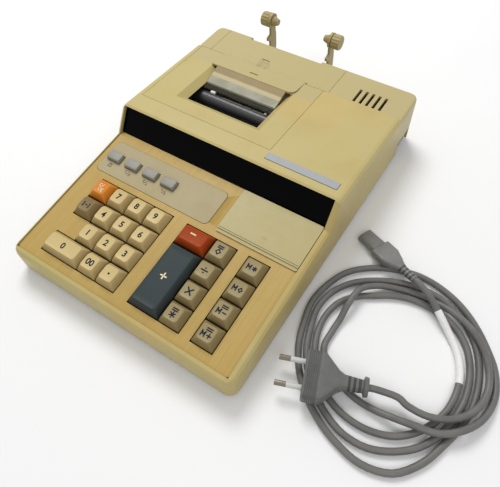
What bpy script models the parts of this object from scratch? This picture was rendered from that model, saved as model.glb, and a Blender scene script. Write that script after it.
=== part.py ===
"""Desktop printing calculator with a paper arm yoke and a detached mains lead.

X runs to the right along the front edge, Y to the back and Z up. The origin is
on the table below the middle of the machine, paper arms included, and the sizes
below are measured from the middle of the housing, which one empty carries. The
keyboard, the window and the hood have empties of their own for their slopes.
"""
import math

import bmesh
import bpy
import numpy as np
from mathutils import Matrix, Vector

MM = 0.001

# Gaps and overruns shared by all pieces
SEAT_GAP = 0.3 * MM
RUN_GAP = 0.4 * MM
CUT_OVERRUN = 1.0 * MM
DEEP_CUT = 60.0 * MM

# Housing
CASE_WIDTH = 213.0 * MM
CASE_DEPTH = 298.0 * MM
CASE_CORNER_RADIUS = 8.0 * MM
CASE_WALL = 2.5 * MM
CASE_LOWER_EDGE = 4.5 * MM
FRONT_EDGE_FILLET = 4.5 * MM
SIDE_EDGE_FILLET = 5.0 * MM
DECK_EDGE_FILLET = 2.5 * MM
MINIMUM_FILLET = 0.4 * MM
CORNER_STEPS = 4
FILLET_STEPS = 3

# Keyboard plate, in the plane of the keyboard slope
PLATE_FRONT_Y = -143.7 * MM
PLATE_REAR_Y = -10.9 * MM
PLATE_LEFT_RIM = 3.3 * MM
PLATE_RIGHT_RIM = 5.7 * MM
PLATE_FRONT_HEIGHT = 26.7 * MM
PLATE_REAR_HEIGHT = 38.9 * MM
PLATE_THICKNESS = 2.0 * MM
PLATE_RECESS = 1.9 * MM
PLATE_CORNER_RADIUS = 3.0 * MM

# Display window and the hood over it
WINDOW_TOP_Y = 2.9 * MM
HOOD_LIP = 3.0 * MM
WINDOW_THICKNESS = 2.0 * MM
CHEEK_PROUD = 3.5 * MM
HOOD_REFERENCE_Y = 2.9 * MM
HOOD_HEIGHT = 60.9 * MM
BROW_CHAMFER = 0.8 * MM
BROW_SLOPE = math.tan(math.radians(24.0))

# Deck behind the hood
CREASE_Y = 108.5 * MM
CREASE_DROP = 7.6 * MM
STEP_SLOPE = -1.0
REAR_DECK_DROP = 11.5 * MM
REAR_DECK_SLOPE = -0.024

# Keys
KEY_PITCH = 19.05 * MM
KEY_GAP = 1.1 * MM
KEY_HEIGHT = 6.8 * MM
KEY_SKIRT_DEPTH = 1.8 * MM
KEY_SHOULDER_HEIGHT = 0.8 * MM
KEY_TOP_INSET = 3.2 * MM
KEY_RIM = 0.8 * MM
KEY_DISH = 0.45 * MM
KEY_RIM_DROP = 0.4 * MM
KEY_CORNER_RADIUS = 1.6 * MM
KEY_TRAVEL = 3.0 * MM
KEY_STEM_WIDTH = 4.4 * MM
KEY_STEM_CORNER = 0.5 * MM
NUMBER_MARGIN_SHARE = 0.31
FUNCTION_GAP_SHARE = 0.2217
MEMORY_GAP_SHARE = 0.1632
NUMBER_COLUMNS = 4
FUNCTION_COLUMNS = 2.5
MEMORY_COLUMNS = 1
WELLS_REAR_Y = -59.9 * MM
WELL_MARGIN = 0.3 * MM

# Push-buttons and their pale inlay
INLAY_SIDE = 4.9 * MM
INLAY_RIGHT_X = 19.2 * MM
INLAY_FRONT_Y = -53.8 * MM
INLAY_REAR_Y = -20.9 * MM
INLAY_THICKNESS = 0.9 * MM
INLAY_PROUD = 0.3 * MM
INLAY_CORNER_RADIUS = 4.0 * MM
BUTTON_SIDE = 9.7 * MM
BUTTON_PITCH = 19.45 * MM
BUTTON_COUNT = 4
BUTTON_MIDDLE_Y = -36.8 * MM
BUTTON_WIDTH = 13.5 * MM
BUTTON_DEPTH = 8.5 * MM
BUTTON_HEIGHT = 4.0 * MM
BUTTON_TRAVEL = 2.0 * MM

# Lid over the slide selectors
LID_LEFT_X = 28.5 * MM
LID_FRONT_Y = -54.2 * MM
LID_REAR_Y = -12.0 * MM
LID_THICKNESS = 1.6 * MM
LID_CORNER_RADIUS = 1.5 * MM
LID_LIP_DEPTH = 2.8 * MM
LID_LIP_HEIGHT = 0.7 * MM
TRAY_MARGIN = 3.0 * MM
SELECTOR_COUNT = 3
SELECTOR_PITCH_SHARE = 0.2766
SELECTOR_SIDE_SHARE = 0.2282
SELECTOR_Y = -34.0 * MM
SELECTOR_WIDTH = 5.0 * MM
SELECTOR_DEPTH = 7.0 * MM
SELECTOR_HEIGHT = 3.4 * MM
SELECTOR_TRAVEL = 4.0 * MM
SELECTOR_STEM_WIDTH = 2.4 * MM

# Board under the keys
BOARD_DROP = 6.2 * MM
BOARD_THICKNESS = 1.6 * MM
BOARD_MARGIN = 3.5 * MM
BOARD_POST_FRONT_SIDE = 19.0 * MM
BOARD_POST_REAR_Y = -65.0 * MM
BOSS_RADIUS = 3.0 * MM
BOSS_SIDES = 12

# Covers on the deck
COVER_SKIN = 2.0 * MM
LEDGE_THICKNESS = 2.0 * MM
LEDGE_WIDTH = 3.0 * MM
PRINTER_COVER_SIDE = 7.1 * MM
PRINTER_COVER_RIGHT_X = 33.3 * MM
PRINTER_COVER_FRONT_Y = 19.0 * MM
REAR_COVER_SIDE = 14.2 * MM
REAR_COVER_RIGHT_X = 36.5 * MM
TONGUE_LEFT_X = -73.2 * MM
TONGUE_RIGHT_X = 13.6 * MM
TONGUE_FRONT_Y = 88.4 * MM
TONGUE_DROP = 4.3 * MM
TONGUE_LOBE_RADIUS = 7.0 * MM
PAPER_NOTCH_LEFT_X = -67.0 * MM
PAPER_NOTCH_RIGHT_X = 11.0 * MM
PAPER_NOTCH_DEPTH = 4.5 * MM
PAPER_SLOT_DEPTH = 11.4 * MM
LATCH_SLOT_WIDTH = 8.5 * MM
LATCH_SLOT_DEPTH = 1.3 * MM
LATCH_SLOT_CUT = 0.9 * MM
LATCH_FRONT = (-31.6 * MM, 95.5 * MM)
LATCH_REAR = (-36.3 * MM, 123.3 * MM)

# Print opening with its sloped surround and the tear bar
FUNNEL_LEFT_X = -72.9 * MM
FUNNEL_RIGHT_X = 13.2 * MM
FUNNEL_FRONT_Y = 33.7 * MM
PRINT_LEFT_X = -66.5 * MM
PRINT_RIGHT_X = 6.8 * MM
PRINT_FRONT_Y = 41.0 * MM
FUNNEL_DEPTH = 5.0 * MM
FUNNEL_WALL = 1.8 * MM
TEAR_BAR_FRONT_Y = 64.0 * MM
TEAR_BAR_FRONT_DROP = 10.3 * MM
TEAR_BAR_TOP_DROP = 4.1 * MM
TEAR_BAR_THICKNESS = 1.8 * MM

# Vents
VENT_COUNT = 5
VENT_SIDE = 46.5 * MM
VENT_PITCH = 6.07 * MM
VENT_WIDTH = 2.6 * MM
VENT_FRONT_Y = 112.5 * MM
VENT_REAR_Y = 130.0 * MM

# Badge plate
BADGE_LEFT_X = 34.0 * MM
BADGE_SIDE = 9.2 * MM
BADGE_FRONT_Y = 9.1 * MM
BADGE_REAR_Y = 16.2 * MM
BADGE_THICKNESS = 0.9 * MM
BADGE_PROUD = 0.5 * MM
BADGE_CORNER_RADIUS = 0.8 * MM

# Bottom tray and feet
FOOT_HEIGHT = 3.0 * MM
FOOT_RADIUS = 8.0 * MM
FOOT_SIDE = 22.5 * MM
FOOT_FRONT_SIDE = 23.0 * MM
FOOT_REAR_SIDE = 27.0 * MM
TRAY_FLOOR_THICKNESS = 2.4 * MM
TRAY_WALL = 2.0 * MM
TRAY_WALL_HEIGHT = 8.0 * MM
TRAY_SIDE_GAP = 0.4 * MM

# Printer mechanism
CHASSIS_LEFT_X = -74.0 * MM
CHASSIS_RIGHT_X = 14.0 * MM
CHASSIS_FRONT_Y = 36.0 * MM
CHASSIS_REAR_Y = 88.0 * MM
CHASSIS_DROP = 14.9 * MM
CHASSIS_SHEET = 2.0 * MM
PLATEN_Y = 60.0 * MM
PLATEN_DROP = 20.9 * MM
PLATEN_RADIUS = 7.5 * MM
DRUM_Y = 45.5 * MM
DRUM_DROP = 26.9 * MM
DRUM_RADIUS = 5.6 * MM
SHAFT_RADIUS = 2.0 * MM
ROLLER_SIDE_PLAY = 1.0 * MM
MOTOR_RADIUS = 10.0 * MM
MOTOR_WALL_ROOM = 10.5 * MM
MOTOR_Y = 74.0 * MM
MOTOR_HEIGHT = 22.0 * MM
ROUND_SIDES = 24
SHAFT_SIDES = 12

# Electronics
MAIN_BOARD_LEFT_X = 22.0 * MM
MAIN_BOARD_SIDE = 22.5 * MM
MAIN_BOARD_FRONT_Y = 6.0 * MM
MAIN_BOARD_REAR_Y = 62.0 * MM
MAIN_BOARD_HEIGHT = 12.0 * MM
CORE_WIDTH = 46.0 * MM
CORE_DEPTH = 20.0 * MM
CORE_TOP_DROP = 16.9 * MM
COIL_SIZE = (30.0 * MM, 32.0 * MM, 22.0 * MM)
TRANSFORMER_PLACE = (56.0 * MM, 92.0 * MM)
TUBE_SIZE = (118.0 * MM, 4.0 * MM, 12.0 * MM)
TUBE_STANDOFF = 3.0 * MM

# Mains inlet in the right side
INLET_SIDE = 20.0 * MM
INLET_WIDTH = 25.0 * MM
INLET_BODY_WIDTH = 24.0 * MM
INLET_BODY_DEPTH = 16.0 * MM
INLET_TOP = 18.0 * MM
INLET_AXIS_HEIGHT = 11.6 * MM
INLET_SETBACK = 2.9 * MM
SOCKET_RADIUS = 3.9 * MM
SOCKET_DEPTH = 11.0 * MM
SOCKET_PIN_RADIUS = 1.15 * MM
SOCKET_PIN_SPACING = 8.6 * MM
SOCKET_PIN_LENGTH = 9.0 * MM

# Paper arms behind the housing
ARM_RIGHT_X = 3.2 * MM
ARM_LEFT_X = -64.2 * MM
ARM_THICKNESS = 2.4 * MM
ARM_PIVOT_SIDE = 6.0 * MM
ARM_PIVOT_HEIGHT = 14.0 * MM
ARM_FOOT_RADIUS = 4.5 * MM
ARM_STRAP_WIDTH = 10.5 * MM
ARM_SHOULDER_WIDTH = 15.0 * MM
ARM_NECK_WIDTH = 8.5 * MM
ARM_HEAD_REACH = 25.0 * MM
ARM_HEAD_HEIGHT = 50.0 * MM
ARM_HEAD_RADIUS = 7.4 * MM
ARM_SHOULDER_DROP = 13.0 * MM
ARM_SHOULDER_DEPTH = 4.5 * MM
ARM_ROD_RADIUS = 2.2 * MM
SPINDLE_SHAFT_RADIUS = 2.0 * MM
KNOB_RADIUS = 7.0 * MM
KNOB_LENGTH = 8.6 * MM
KNOB_RIBS = 14
KNOB_RIB_SHARE = 0.93
CONE_BASE_RADIUS = 5.0 * MM
CONE_TIP_RADIUS = 3.0 * MM
CONE_LENGTH = 6.0 * MM
LUG_THICKNESS = 4.0 * MM
LUG_RADIUS = 5.2 * MM

# Mains lead
CORD_DIAMETER = 5.0 * MM
COIL_MIDDLE = (186.0 * MM, -62.0 * MM)
POINTS_PER_LOOP = 24
ROUTE_SHARES = 5.0
PLUG_END = (181.0 * MM, -95.0 * MM, 12.7 * MM)
PLUG_HEADING = math.radians(200.0)
CONNECTOR_HEADING = math.radians(155.0)
CONNECTOR_PITCH = math.radians(-9.8)
PIN_RADIUS = 2.0 * MM
PIN_LENGTH = 19.0 * MM
PIN_SPACING = 18.6 * MM

KEY_COLOURS = {
    "beige": (0.52, 0.42, 0.22, 1.0),
    "olive": (0.42, 0.36, 0.19, 1.0),
    "orange": (0.75, 0.20, 0.02, 1.0),
    "red": (0.26, 0.03, 0.006, 1.0),
    "slate": (0.045, 0.065, 0.075, 1.0),
    "umber": (0.24, 0.17, 0.10, 1.0),
}

# Each key is its name, first column, front row, columns, rows and colour
NUMBER_KEYS = [
    ("key_clear", 0, 3, 1, 1, "orange"),
    ("key_7", 1, 3, 1, 1, "beige"),
    ("key_8", 2, 3, 1, 1, "beige"),
    ("key_9", 3, 3, 1, 1, "beige"),
    ("key_shift", 0, 2, 1, 1, "umber"),
    ("key_4", 1, 2, 1, 1, "beige"),
    ("key_5", 2, 2, 1, 1, "beige"),
    ("key_6", 3, 2, 1, 1, "beige"),
    ("key_1", 1, 1, 1, 1, "beige"),
    ("key_2", 2, 1, 1, 1, "beige"),
    ("key_3", 3, 1, 1, 1, "beige"),
    ("key_0", 0, 0, 2, 1, "beige"),
    ("key_00", 2, 0, 1, 1, "beige"),
    ("key_point", 3, 0, 1, 1, "beige"),
]
FUNCTION_KEYS = [
    ("key_minus", 0, 3, 1.5, 1, "red"),
    ("key_plus", 0, 0, 1.5, 3, "slate"),
    ("key_equals", 1.5, 3, 1, 1, "olive"),
    ("key_divide", 1.5, 2, 1, 1, "olive"),
    ("key_times", 1.5, 1, 1, 1, "olive"),
    ("key_total", 1.5, 0, 1, 1, "olive"),
]
MEMORY_KEYS = [
    ("key_memory_total", 0, 3, 1, 1, "olive"),
    ("key_memory_subtotal", 0, 2, 1, 1, "olive"),
    ("key_memory_minus", 0, 1, 1, 1, "olive"),
    ("key_memory_plus", 0, 0, 1, 1, "olive"),
]
KEY_ROWS = 4

# Route of the lead, clockwise from above: degrees swept from +Y, then radius and height in
# fifths of the lead's thickness
CORD_ROUTE = [
    (-11, 60.8, 13.6), (0, 54.6, 13.3), (15, 48.0, 10.4), (28, 45.8, 6.0), (42, 45.4, 2.7),
    (80, 46.0, 2.7), (95, 46.8, 2.7), (107, 48.0, 2.7), (120, 49.4, 2.7), (132, 51.0, 2.7),
    (150, 54.0, 2.7), (185, 56.0, 2.7), (245, 56.0, 2.7), (263, 56.3, 2.7), (290, 56.0, 2.7),
    (301, 53.8, 2.7), (322, 49.4, 2.7), (342, 49.6, 2.7), (360, 50.0, 2.7), (375, 51.0, 2.7),
    (400, 53.0, 2.7), (440, 52.3, 2.7), (456, 53.2, 2.7), (476, 55.8, 2.7), (498, 61.0, 2.7),
    (514, 64.0, 2.7), (537, 67.0, 2.7), (550, 66.0, 2.7), (566, 63.5, 2.7), (606, 62.0, 2.7),
    (620, 62.3, 2.7), (635, 65.0, 2.7), (650, 66.0, 2.7), (667, 65.0, 2.7), (687, 62.2, 2.7),
    (711, 62.0, 2.7), (735, 62.0, 2.7), (760, 60.6, 2.7), (800, 58.4, 2.7), (821, 60.0, 2.7),
    (845, 63.8, 2.7), (863, 72.0, 2.7), (874, 77.0, 2.7), (885, 78.6, 2.7), (896, 76.5, 2.7),
    (909, 73.0, 2.7), (926, 70.0, 2.7), (966, 68.0, 2.7), (981, 68.4, 2.7), (997, 71.5, 2.7),
    (1014, 73.4, 2.7), (1031, 75.4, 2.7), (1051, 73.2, 2.7), (1066, 72.8, 2.7), (1080, 71.0, 2.7),
    (1100, 68.4, 2.7), (1117, 66.8, 2.7), (1135, 67.0, 2.7), (1155, 70.0, 2.7), (1168, 69.4, 3.4),
    (1186, 65.5, 8.4), (1205, 58.5, 8.5), (1225, 47.5, 8.5), (1240, 43.5, 7.0), (1262, 41.5, 2.7),
    (1300, 45.0, 2.7), (1324, 49.8, 2.7), (1340, 47.0, 2.7), (1355, 46.0, 3.2), (1370, 48.5, 8.3),
    (1380, 52.8, 8.5), (1392, 56.4, 8.4), (1408, 56.2, 4.5), (1425, 55.8, 2.7), (1445, 56.3, 2.9),
    (1458, 56.6, 6.0), (1470, 58.0, 8.4), (1490, 61.5, 8.4), (1505, 63.4, 7.2), (1520, 63.9, 7.0),
    (1533, 62.0, 8.6), (1545, 58.6, 8.8), (1560, 50.5, 8.9), (1583, 36.8, 9.9),
]

# Stations along the connector and the plug: distance, half width, half height, corner
CONNECTOR_SECTIONS = [
    (0.0, 2.9, 2.9, 2.8), (12.0, 3.3, 3.2, 3.1), (16.0, 4.4, 3.4, 3.2), (20.0, 6.2, 3.6, 3.0),
    (28.0, 8.8, 4.1, 2.6), (39.0, 8.8, 4.1, 2.2), (40.0, 6.9, 3.6, 3.4), (58.0, 6.9, 3.6, 3.4),
]
PLUG_SECTIONS = [
    (0.0, 6.6, 6.6, 6.4), (2.6, 7.2, 6.8, 6.6), (3.6, 4.6, 4.4, 4.2), (16.0, 5.6, 4.8, 4.4),
    (20.0, 7.6, 5.6, 4.6), (30.0, 17.2, 6.6, 4.0), (32.0, 17.8, 6.8, 3.6), (42.6, 17.8, 6.9, 3.4),
    (43.6, 17.0, 6.4, 3.2),
]


# Scene and collections
def clear_scene():
    for item in list(bpy.data.objects):
        bpy.data.objects.remove(item)


def make_collection(name):
    collection = bpy.data.collections.new(name)
    bpy.context.scene.collection.children.link(collection)
    return collection


def material(name, colour, roughness, metallic=0.0):
    made = bpy.data.materials.new(name)
    made.use_nodes = True
    shader = made.node_tree.nodes["Principled BSDF"]
    shader.inputs["Base Color"].default_value = colour
    shader.inputs["Roughness"].default_value = roughness
    shader.inputs["Metallic"].default_value = metallic
    made.diffuse_color = colour
    return made


def add_object(name, mesh_source, finish=None, frame=None, cutter=False):
    """Turns a bmesh into an object, as a part with a finish or as a cutter."""
    bmesh.ops.recalc_face_normals(mesh_source, faces=mesh_source.faces)
    mesh = bpy.data.meshes.new(name)
    mesh_source.to_mesh(mesh)
    mesh_source.free()
    item = bpy.data.objects.new(name, mesh)
    if cutter:
        CUTTERS.objects.link(item)
        item.hide_render = True
        item.display_type = "WIRE"
    else:
        PARTS.objects.link(item)
        mesh.materials.append(finish)
    item.parent = frame or MACHINE_FRAME
    return item


def add_frame(name, place, tilt=0.0, parent=None):
    """An empty that carries the place and the slope of what is parented to it."""
    frame = bpy.data.objects.new(name, None)
    PARTS.objects.link(frame)
    frame.location = place
    frame.rotation_euler = (tilt, 0, 0)
    frame.parent = parent
    return frame


def boolean(target, tool, operation="DIFFERENCE"):
    step = target.modifiers.new(operation.lower(), "BOOLEAN")
    step.operation = operation
    step.solver = "EXACT"
    step.object = tool
    return step


def bevel(target, width, segments=2, angle=math.radians(40.0)):
    step = target.modifiers.new("edges", "BEVEL")
    step.width = width
    step.segments = segments
    step.limit_method = "ANGLE"
    step.angle_limit = angle
    return step


def smooth(item, angle=math.radians(40.0)):
    item.data.shade_smooth()
    item.data.set_sharp_from_angle(angle=angle)


# Basic solids
def block_mesh(boxes):
    """One mesh of boxes, each given by its lowest and highest corner."""
    source = bmesh.new()
    for low, high in boxes:
        made = bmesh.ops.create_cube(source, size=1.0)
        low_corner = Vector(low)
        high_corner = Vector(high)
        middle = (low_corner + high_corner) / 2
        extent = high_corner - low_corner
        bmesh.ops.scale(source, verts=made["verts"], vec=extent)
        bmesh.ops.translate(source, verts=made["verts"], vec=middle)
    return source


def round_mesh(rounds, sides):
    """One mesh of cylinders, each given by its two ends and its radius."""
    source = bmesh.new()
    for start, end, radius in rounds:
        first = Vector(start)
        last = Vector(end)
        axis = last - first
        turn = axis.to_track_quat("Z", "Y").to_matrix().to_4x4()
        place = Matrix.Translation((first + last) / 2) @ turn
        bmesh.ops.create_cone(source, cap_ends=True, segments=sides, radius1=radius,
                              radius2=radius, depth=axis.length, matrix=place)
    return source


def loft_mesh(rings):
    """Joins rings of equally many points into a closed solid."""
    source = bmesh.new()
    rows = [[source.verts.new(point) for point in ring] for ring in rings]
    count = len(rows[0])
    for lower, upper in zip(rows[:-1], rows[1:]):
        for index in range(count):
            following = (index + 1) % count
            source.faces.new((lower[index], lower[following], upper[following], upper[index]))
    source.faces.new(rows[0])
    source.faces.new(rows[-1])
    return source


def round_corners(half_x, half_y, radius, steps):
    """Points around a rectangle with round corners, middle at zero."""
    points = []
    corners = [(1, 1), (-1, 1), (-1, -1), (1, -1)]
    for quarter, (side_x, side_y) in enumerate(corners):
        middle_x = side_x * (half_x - radius)
        middle_y = side_y * (half_y - radius)
        for step in range(steps + 1):
            angle = (quarter + step / steps) * math.pi / 2
            points.append((middle_x + radius * math.cos(angle), middle_y + radius * math.sin(angle)))
    return points


def slab_mesh(low_x, high_x, low_y, high_y, bottom, top, radius, steps=3):
    """A plate with round corners in plan."""
    half_x = (high_x - low_x) / 2
    half_y = (high_y - low_y) / 2
    outline = round_corners(half_x, half_y, radius, steps)
    middle_x = (low_x + high_x) / 2
    middle_y = (low_y + high_y) / 2
    rings = [[(middle_x + x, middle_y + y, level) for x, y in outline] for level in (bottom, top)]
    return loft_mesh(rings)


def extruded_mesh(outline, low_x, high_x):
    """An outline of Y and Z points drawn out along X."""
    rings = [[(x, y, z) for y, z in outline] for x in (low_x, high_x)]
    return loft_mesh(rings)


# Places that follow the housing's width and depth, and the height of its hood
HALF_WIDTH = CASE_WIDTH / 2
HALF_DEPTH = CASE_DEPTH / 2
PLATE_LEFT_X = PLATE_LEFT_RIM - HALF_WIDTH
PLATE_RIGHT_X = HALF_WIDTH - PLATE_RIGHT_RIM
PLATE_WIDTH = PLATE_RIGHT_X - PLATE_LEFT_X
KEY_COLUMNS = NUMBER_COLUMNS + FUNCTION_COLUMNS + MEMORY_COLUMNS
WELL_SPARE_WIDTH = PLATE_WIDTH - KEY_PITCH * KEY_COLUMNS
NUMBER_WELL_X = PLATE_LEFT_X + WELL_SPARE_WIDTH * NUMBER_MARGIN_SHARE
NUMBER_WELL_RIGHT_X = NUMBER_WELL_X + KEY_PITCH * NUMBER_COLUMNS
FUNCTION_WELL_X = NUMBER_WELL_RIGHT_X + WELL_SPARE_WIDTH * FUNCTION_GAP_SHARE
FUNCTION_WELL_RIGHT_X = FUNCTION_WELL_X + KEY_PITCH * FUNCTION_COLUMNS
MEMORY_WELL_X = FUNCTION_WELL_RIGHT_X + WELL_SPARE_WIDTH * MEMORY_GAP_SHARE
MEMORY_WELL_RIGHT_X = MEMORY_WELL_X + KEY_PITCH * MEMORY_COLUMNS
INLAY_LEFT_X = PLATE_LEFT_X + INLAY_SIDE
BUTTON_FIRST_X = INLAY_LEFT_X + BUTTON_SIDE
LID_WIDTH = PLATE_RIGHT_X - LID_LEFT_X
SELECTOR_PITCH = LID_WIDTH * SELECTOR_PITCH_SHARE
SELECTOR_FIRST_X = LID_LEFT_X + LID_WIDTH * SELECTOR_SIDE_SHARE
PRINTER_COVER_LEFT_X = PRINTER_COVER_SIDE - HALF_WIDTH
REAR_COVER_LEFT_X = REAR_COVER_SIDE - HALF_WIDTH
VENT_FIRST_X = HALF_WIDTH - VENT_SIDE
BADGE_RIGHT_X = HALF_WIDTH - BADGE_SIDE
FOOT_X = HALF_WIDTH - FOOT_SIDE
FOOT_FRONT_Y = FOOT_FRONT_SIDE - HALF_DEPTH
FOOT_REAR_Y = HALF_DEPTH - FOOT_REAR_SIDE
INLET_MIDDLE_Y = HALF_DEPTH - INLET_SIDE
ARM_PIVOT_Y = HALF_DEPTH + ARM_PIVOT_SIDE
ARM_HEAD_Y = ARM_PIVOT_Y + ARM_HEAD_REACH
MAIN_BOARD_RIGHT_X = HALF_WIDTH - MAIN_BOARD_SIDE
MOTOR_LENGTH = CHASSIS_LEFT_X + HALF_WIDTH - MOTOR_WALL_ROOM
WINDOW_TOP_HEIGHT = HOOD_HEIGHT - HOOD_LIP
CREASE_HEIGHT = HOOD_HEIGHT - CREASE_DROP
REAR_DECK_HEIGHT = HOOD_HEIGHT - REAR_DECK_DROP
TONGUE_FRONT_HEIGHT = HOOD_HEIGHT - TONGUE_DROP
PAPER_SLOT_LOWER_EDGE = REAR_DECK_HEIGHT - PAPER_SLOT_DEPTH
TEAR_BAR_FRONT_HEIGHT = HOOD_HEIGHT - TEAR_BAR_FRONT_DROP
TEAR_BAR_TOP_HEIGHT = HOOD_HEIGHT - TEAR_BAR_TOP_DROP
CHASSIS_TOP = HOOD_HEIGHT - CHASSIS_DROP
PLATEN_HEIGHT = HOOD_HEIGHT - PLATEN_DROP
DRUM_HEIGHT = HOOD_HEIGHT - DRUM_DROP
CORE_TOP = HOOD_HEIGHT - CORE_TOP_DROP

# Form of the housing
PLATE_SLOPE = (PLATE_REAR_HEIGHT - PLATE_FRONT_HEIGHT) / (PLATE_REAR_Y - PLATE_FRONT_Y)
PLATE_TILT = math.atan(PLATE_SLOPE)
WINDOW_SLOPE = (WINDOW_TOP_HEIGHT - PLATE_REAR_HEIGHT) / (WINDOW_TOP_Y - PLATE_REAR_Y)
WINDOW_TILT = math.atan(WINDOW_SLOPE)
HOOD_SLOPE = (CREASE_HEIGHT - HOOD_HEIGHT) / (CREASE_Y - HOOD_REFERENCE_Y)
HOOD_TILT = math.atan(HOOD_SLOPE)


def line_height(line, y):
    place_y, height, slope = line
    return height + slope * (y - place_y)


def meeting_y(first, second):
    """Where two sloped lines of the side view cross."""
    lift = line_height(second, 0) - line_height(first, 0)
    return lift / (first[2] - second[2])


def deck_lines(inset):
    """The straight stretches of the side view, front to back, moved inwards."""
    rim = (PLATE_FRONT_Y, PLATE_FRONT_HEIGHT + PLATE_RECESS, PLATE_SLOPE)
    cheek_lift = CHEEK_PROUD / math.cos(WINDOW_TILT)
    cheek = (PLATE_REAR_Y, PLATE_REAR_HEIGHT + cheek_lift, WINDOW_SLOPE)
    hood = (HOOD_REFERENCE_Y, HOOD_HEIGHT, HOOD_SLOPE)
    brow_y = meeting_y(cheek, hood)
    brow = (brow_y, line_height(hood, brow_y) - BROW_CHAMFER, BROW_SLOPE)
    step = (CREASE_Y, CREASE_HEIGHT, STEP_SLOPE)
    rear = (HALF_DEPTH, REAR_DECK_HEIGHT, REAR_DECK_SLOPE)
    moved = []
    for place_y, height, slope in (rim, cheek, brow, hood, step, rear):
        moved.append((place_y, height - inset * math.hypot(1, slope), slope))
    return moved


def fillet_drop(distance, radius):
    """How far a round edge lies below its sharp corner line."""
    if distance >= radius:
        return 0.0
    return radius - math.sqrt(max(radius ** 2 - (radius - distance) ** 2, 0.0))


def case_sections(inset, base):
    """Cross-sections of the housing along Y, each a closed ring in X and Z."""
    lines = deck_lines(inset)
    breaks = [meeting_y(first, second) for first, second in zip(lines[:-1], lines[1:])]
    front = inset - HALF_DEPTH
    rear = HALF_DEPTH - inset
    corner = CASE_CORNER_RADIUS - inset
    rows = []
    for step in range(CORNER_STEPS + 1):
        run = corner * (1 - math.cos(step / CORNER_STEPS * math.pi / 2))
        rows.append(front + run)
        rows.append(rear - run)
    rows = sorted(rows + breaks)
    step_start = breaks[3]
    rings = []
    for y in rows:
        stretch = sum(1 for place in breaks if y > place)
        height = line_height(lines[stretch], y)
        height -= fillet_drop(y - front, max(FRONT_EDGE_FILLET - inset, MINIMUM_FILLET))
        height -= fillet_drop(rear - y, max(DECK_EDGE_FILLET - inset, MINIMUM_FILLET))
        nearest = min(y - front, rear - y)
        half_width = HALF_WIDTH - inset - fillet_drop(nearest, corner)
        edge = SIDE_EDGE_FILLET if y <= step_start else DECK_EDGE_FILLET
        fillet = max(edge - inset, MINIMUM_FILLET)
        side = [(half_width, base)]
        for turn in range(FILLET_STEPS + 1):
            angle = turn / FILLET_STEPS * math.pi / 2
            across = half_width - fillet + fillet * math.cos(angle)
            up = height - fillet + fillet * math.sin(angle)
            side.append((across, up))
        mirrored = [(-across, up) for across, up in reversed(side)]
        rings.append([(across, y, up) for across, up in side + mirrored])
    return rings


def case_form(name, inset, base, finish=None, cutter=True):
    return add_object(name, loft_mesh(case_sections(inset, base)), finish, cutter=cutter)


def cut_box(name, low, high, frame=None):
    return add_object(name, block_mesh([(low, high)]), cutter=True, frame=frame)


# Housing
def plate_level(y):
    return PLATE_FRONT_HEIGHT + PLATE_SLOPE * (y - PLATE_FRONT_Y)


def deck_level(y, inset=0.0):
    lines = deck_lines(inset)
    if y < meeting_y(lines[3], lines[4]):
        return line_height(lines[3], y)
    return max(line_height(lines[4], y), line_height(lines[5], y))


def ledge_frame():
    """The ledge that both deck covers lie on, fused under the housing's skin."""
    ledge = case_form("ledge", COVER_SKIN + SEAT_GAP, CASE_LOWER_EDGE)
    inner = case_form("ledge_inside", COVER_SKIN + SEAT_GAP + LEDGE_THICKNESS, -DEEP_CUT)
    low_x = PRINTER_COVER_LEFT_X - LEDGE_WIDTH
    high_x = REAR_COVER_RIGHT_X + LEDGE_WIDTH
    low_y = PRINTER_COVER_FRONT_Y - LEDGE_WIDTH
    region_bottom = deck_level(HALF_DEPTH) - LEDGE_WIDTH * 3
    region = cut_box("ledge_region", (low_x, low_y, region_bottom),
                     (high_x, HALF_DEPTH - CASE_CORNER_RADIUS, DEEP_CUT * 2))
    boolean(ledge, region, "INTERSECT")
    boolean(ledge, inner)
    return ledge


def bay_openings():
    """The openings inside the ledge, cut through the deck under the covers."""
    front_bay = cut_box(
        "front_bay_opening",
        (PRINTER_COVER_LEFT_X + LEDGE_WIDTH, PRINTER_COVER_FRONT_Y + LEDGE_WIDTH, 0),
        (PRINTER_COVER_RIGHT_X - LEDGE_WIDTH, CREASE_Y - LEDGE_WIDTH, DEEP_CUT * 2))
    rear_bay = cut_box(
        "rear_bay_opening",
        (REAR_COVER_LEFT_X + LEDGE_WIDTH, CREASE_Y + LEDGE_WIDTH, 0),
        (REAR_COVER_RIGHT_X - LEDGE_WIDTH, HALF_DEPTH - CASE_CORNER_RADIUS, DEEP_CUT * 2))
    tongue_bay = cut_box(
        "tongue_opening",
        (TONGUE_LEFT_X, CREASE_Y - LEDGE_WIDTH * 2, 0),
        (TONGUE_RIGHT_X, CREASE_Y + LEDGE_WIDTH * 2, DEEP_CUT * 2))
    return (front_bay, rear_bay, tongue_bay)


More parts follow.
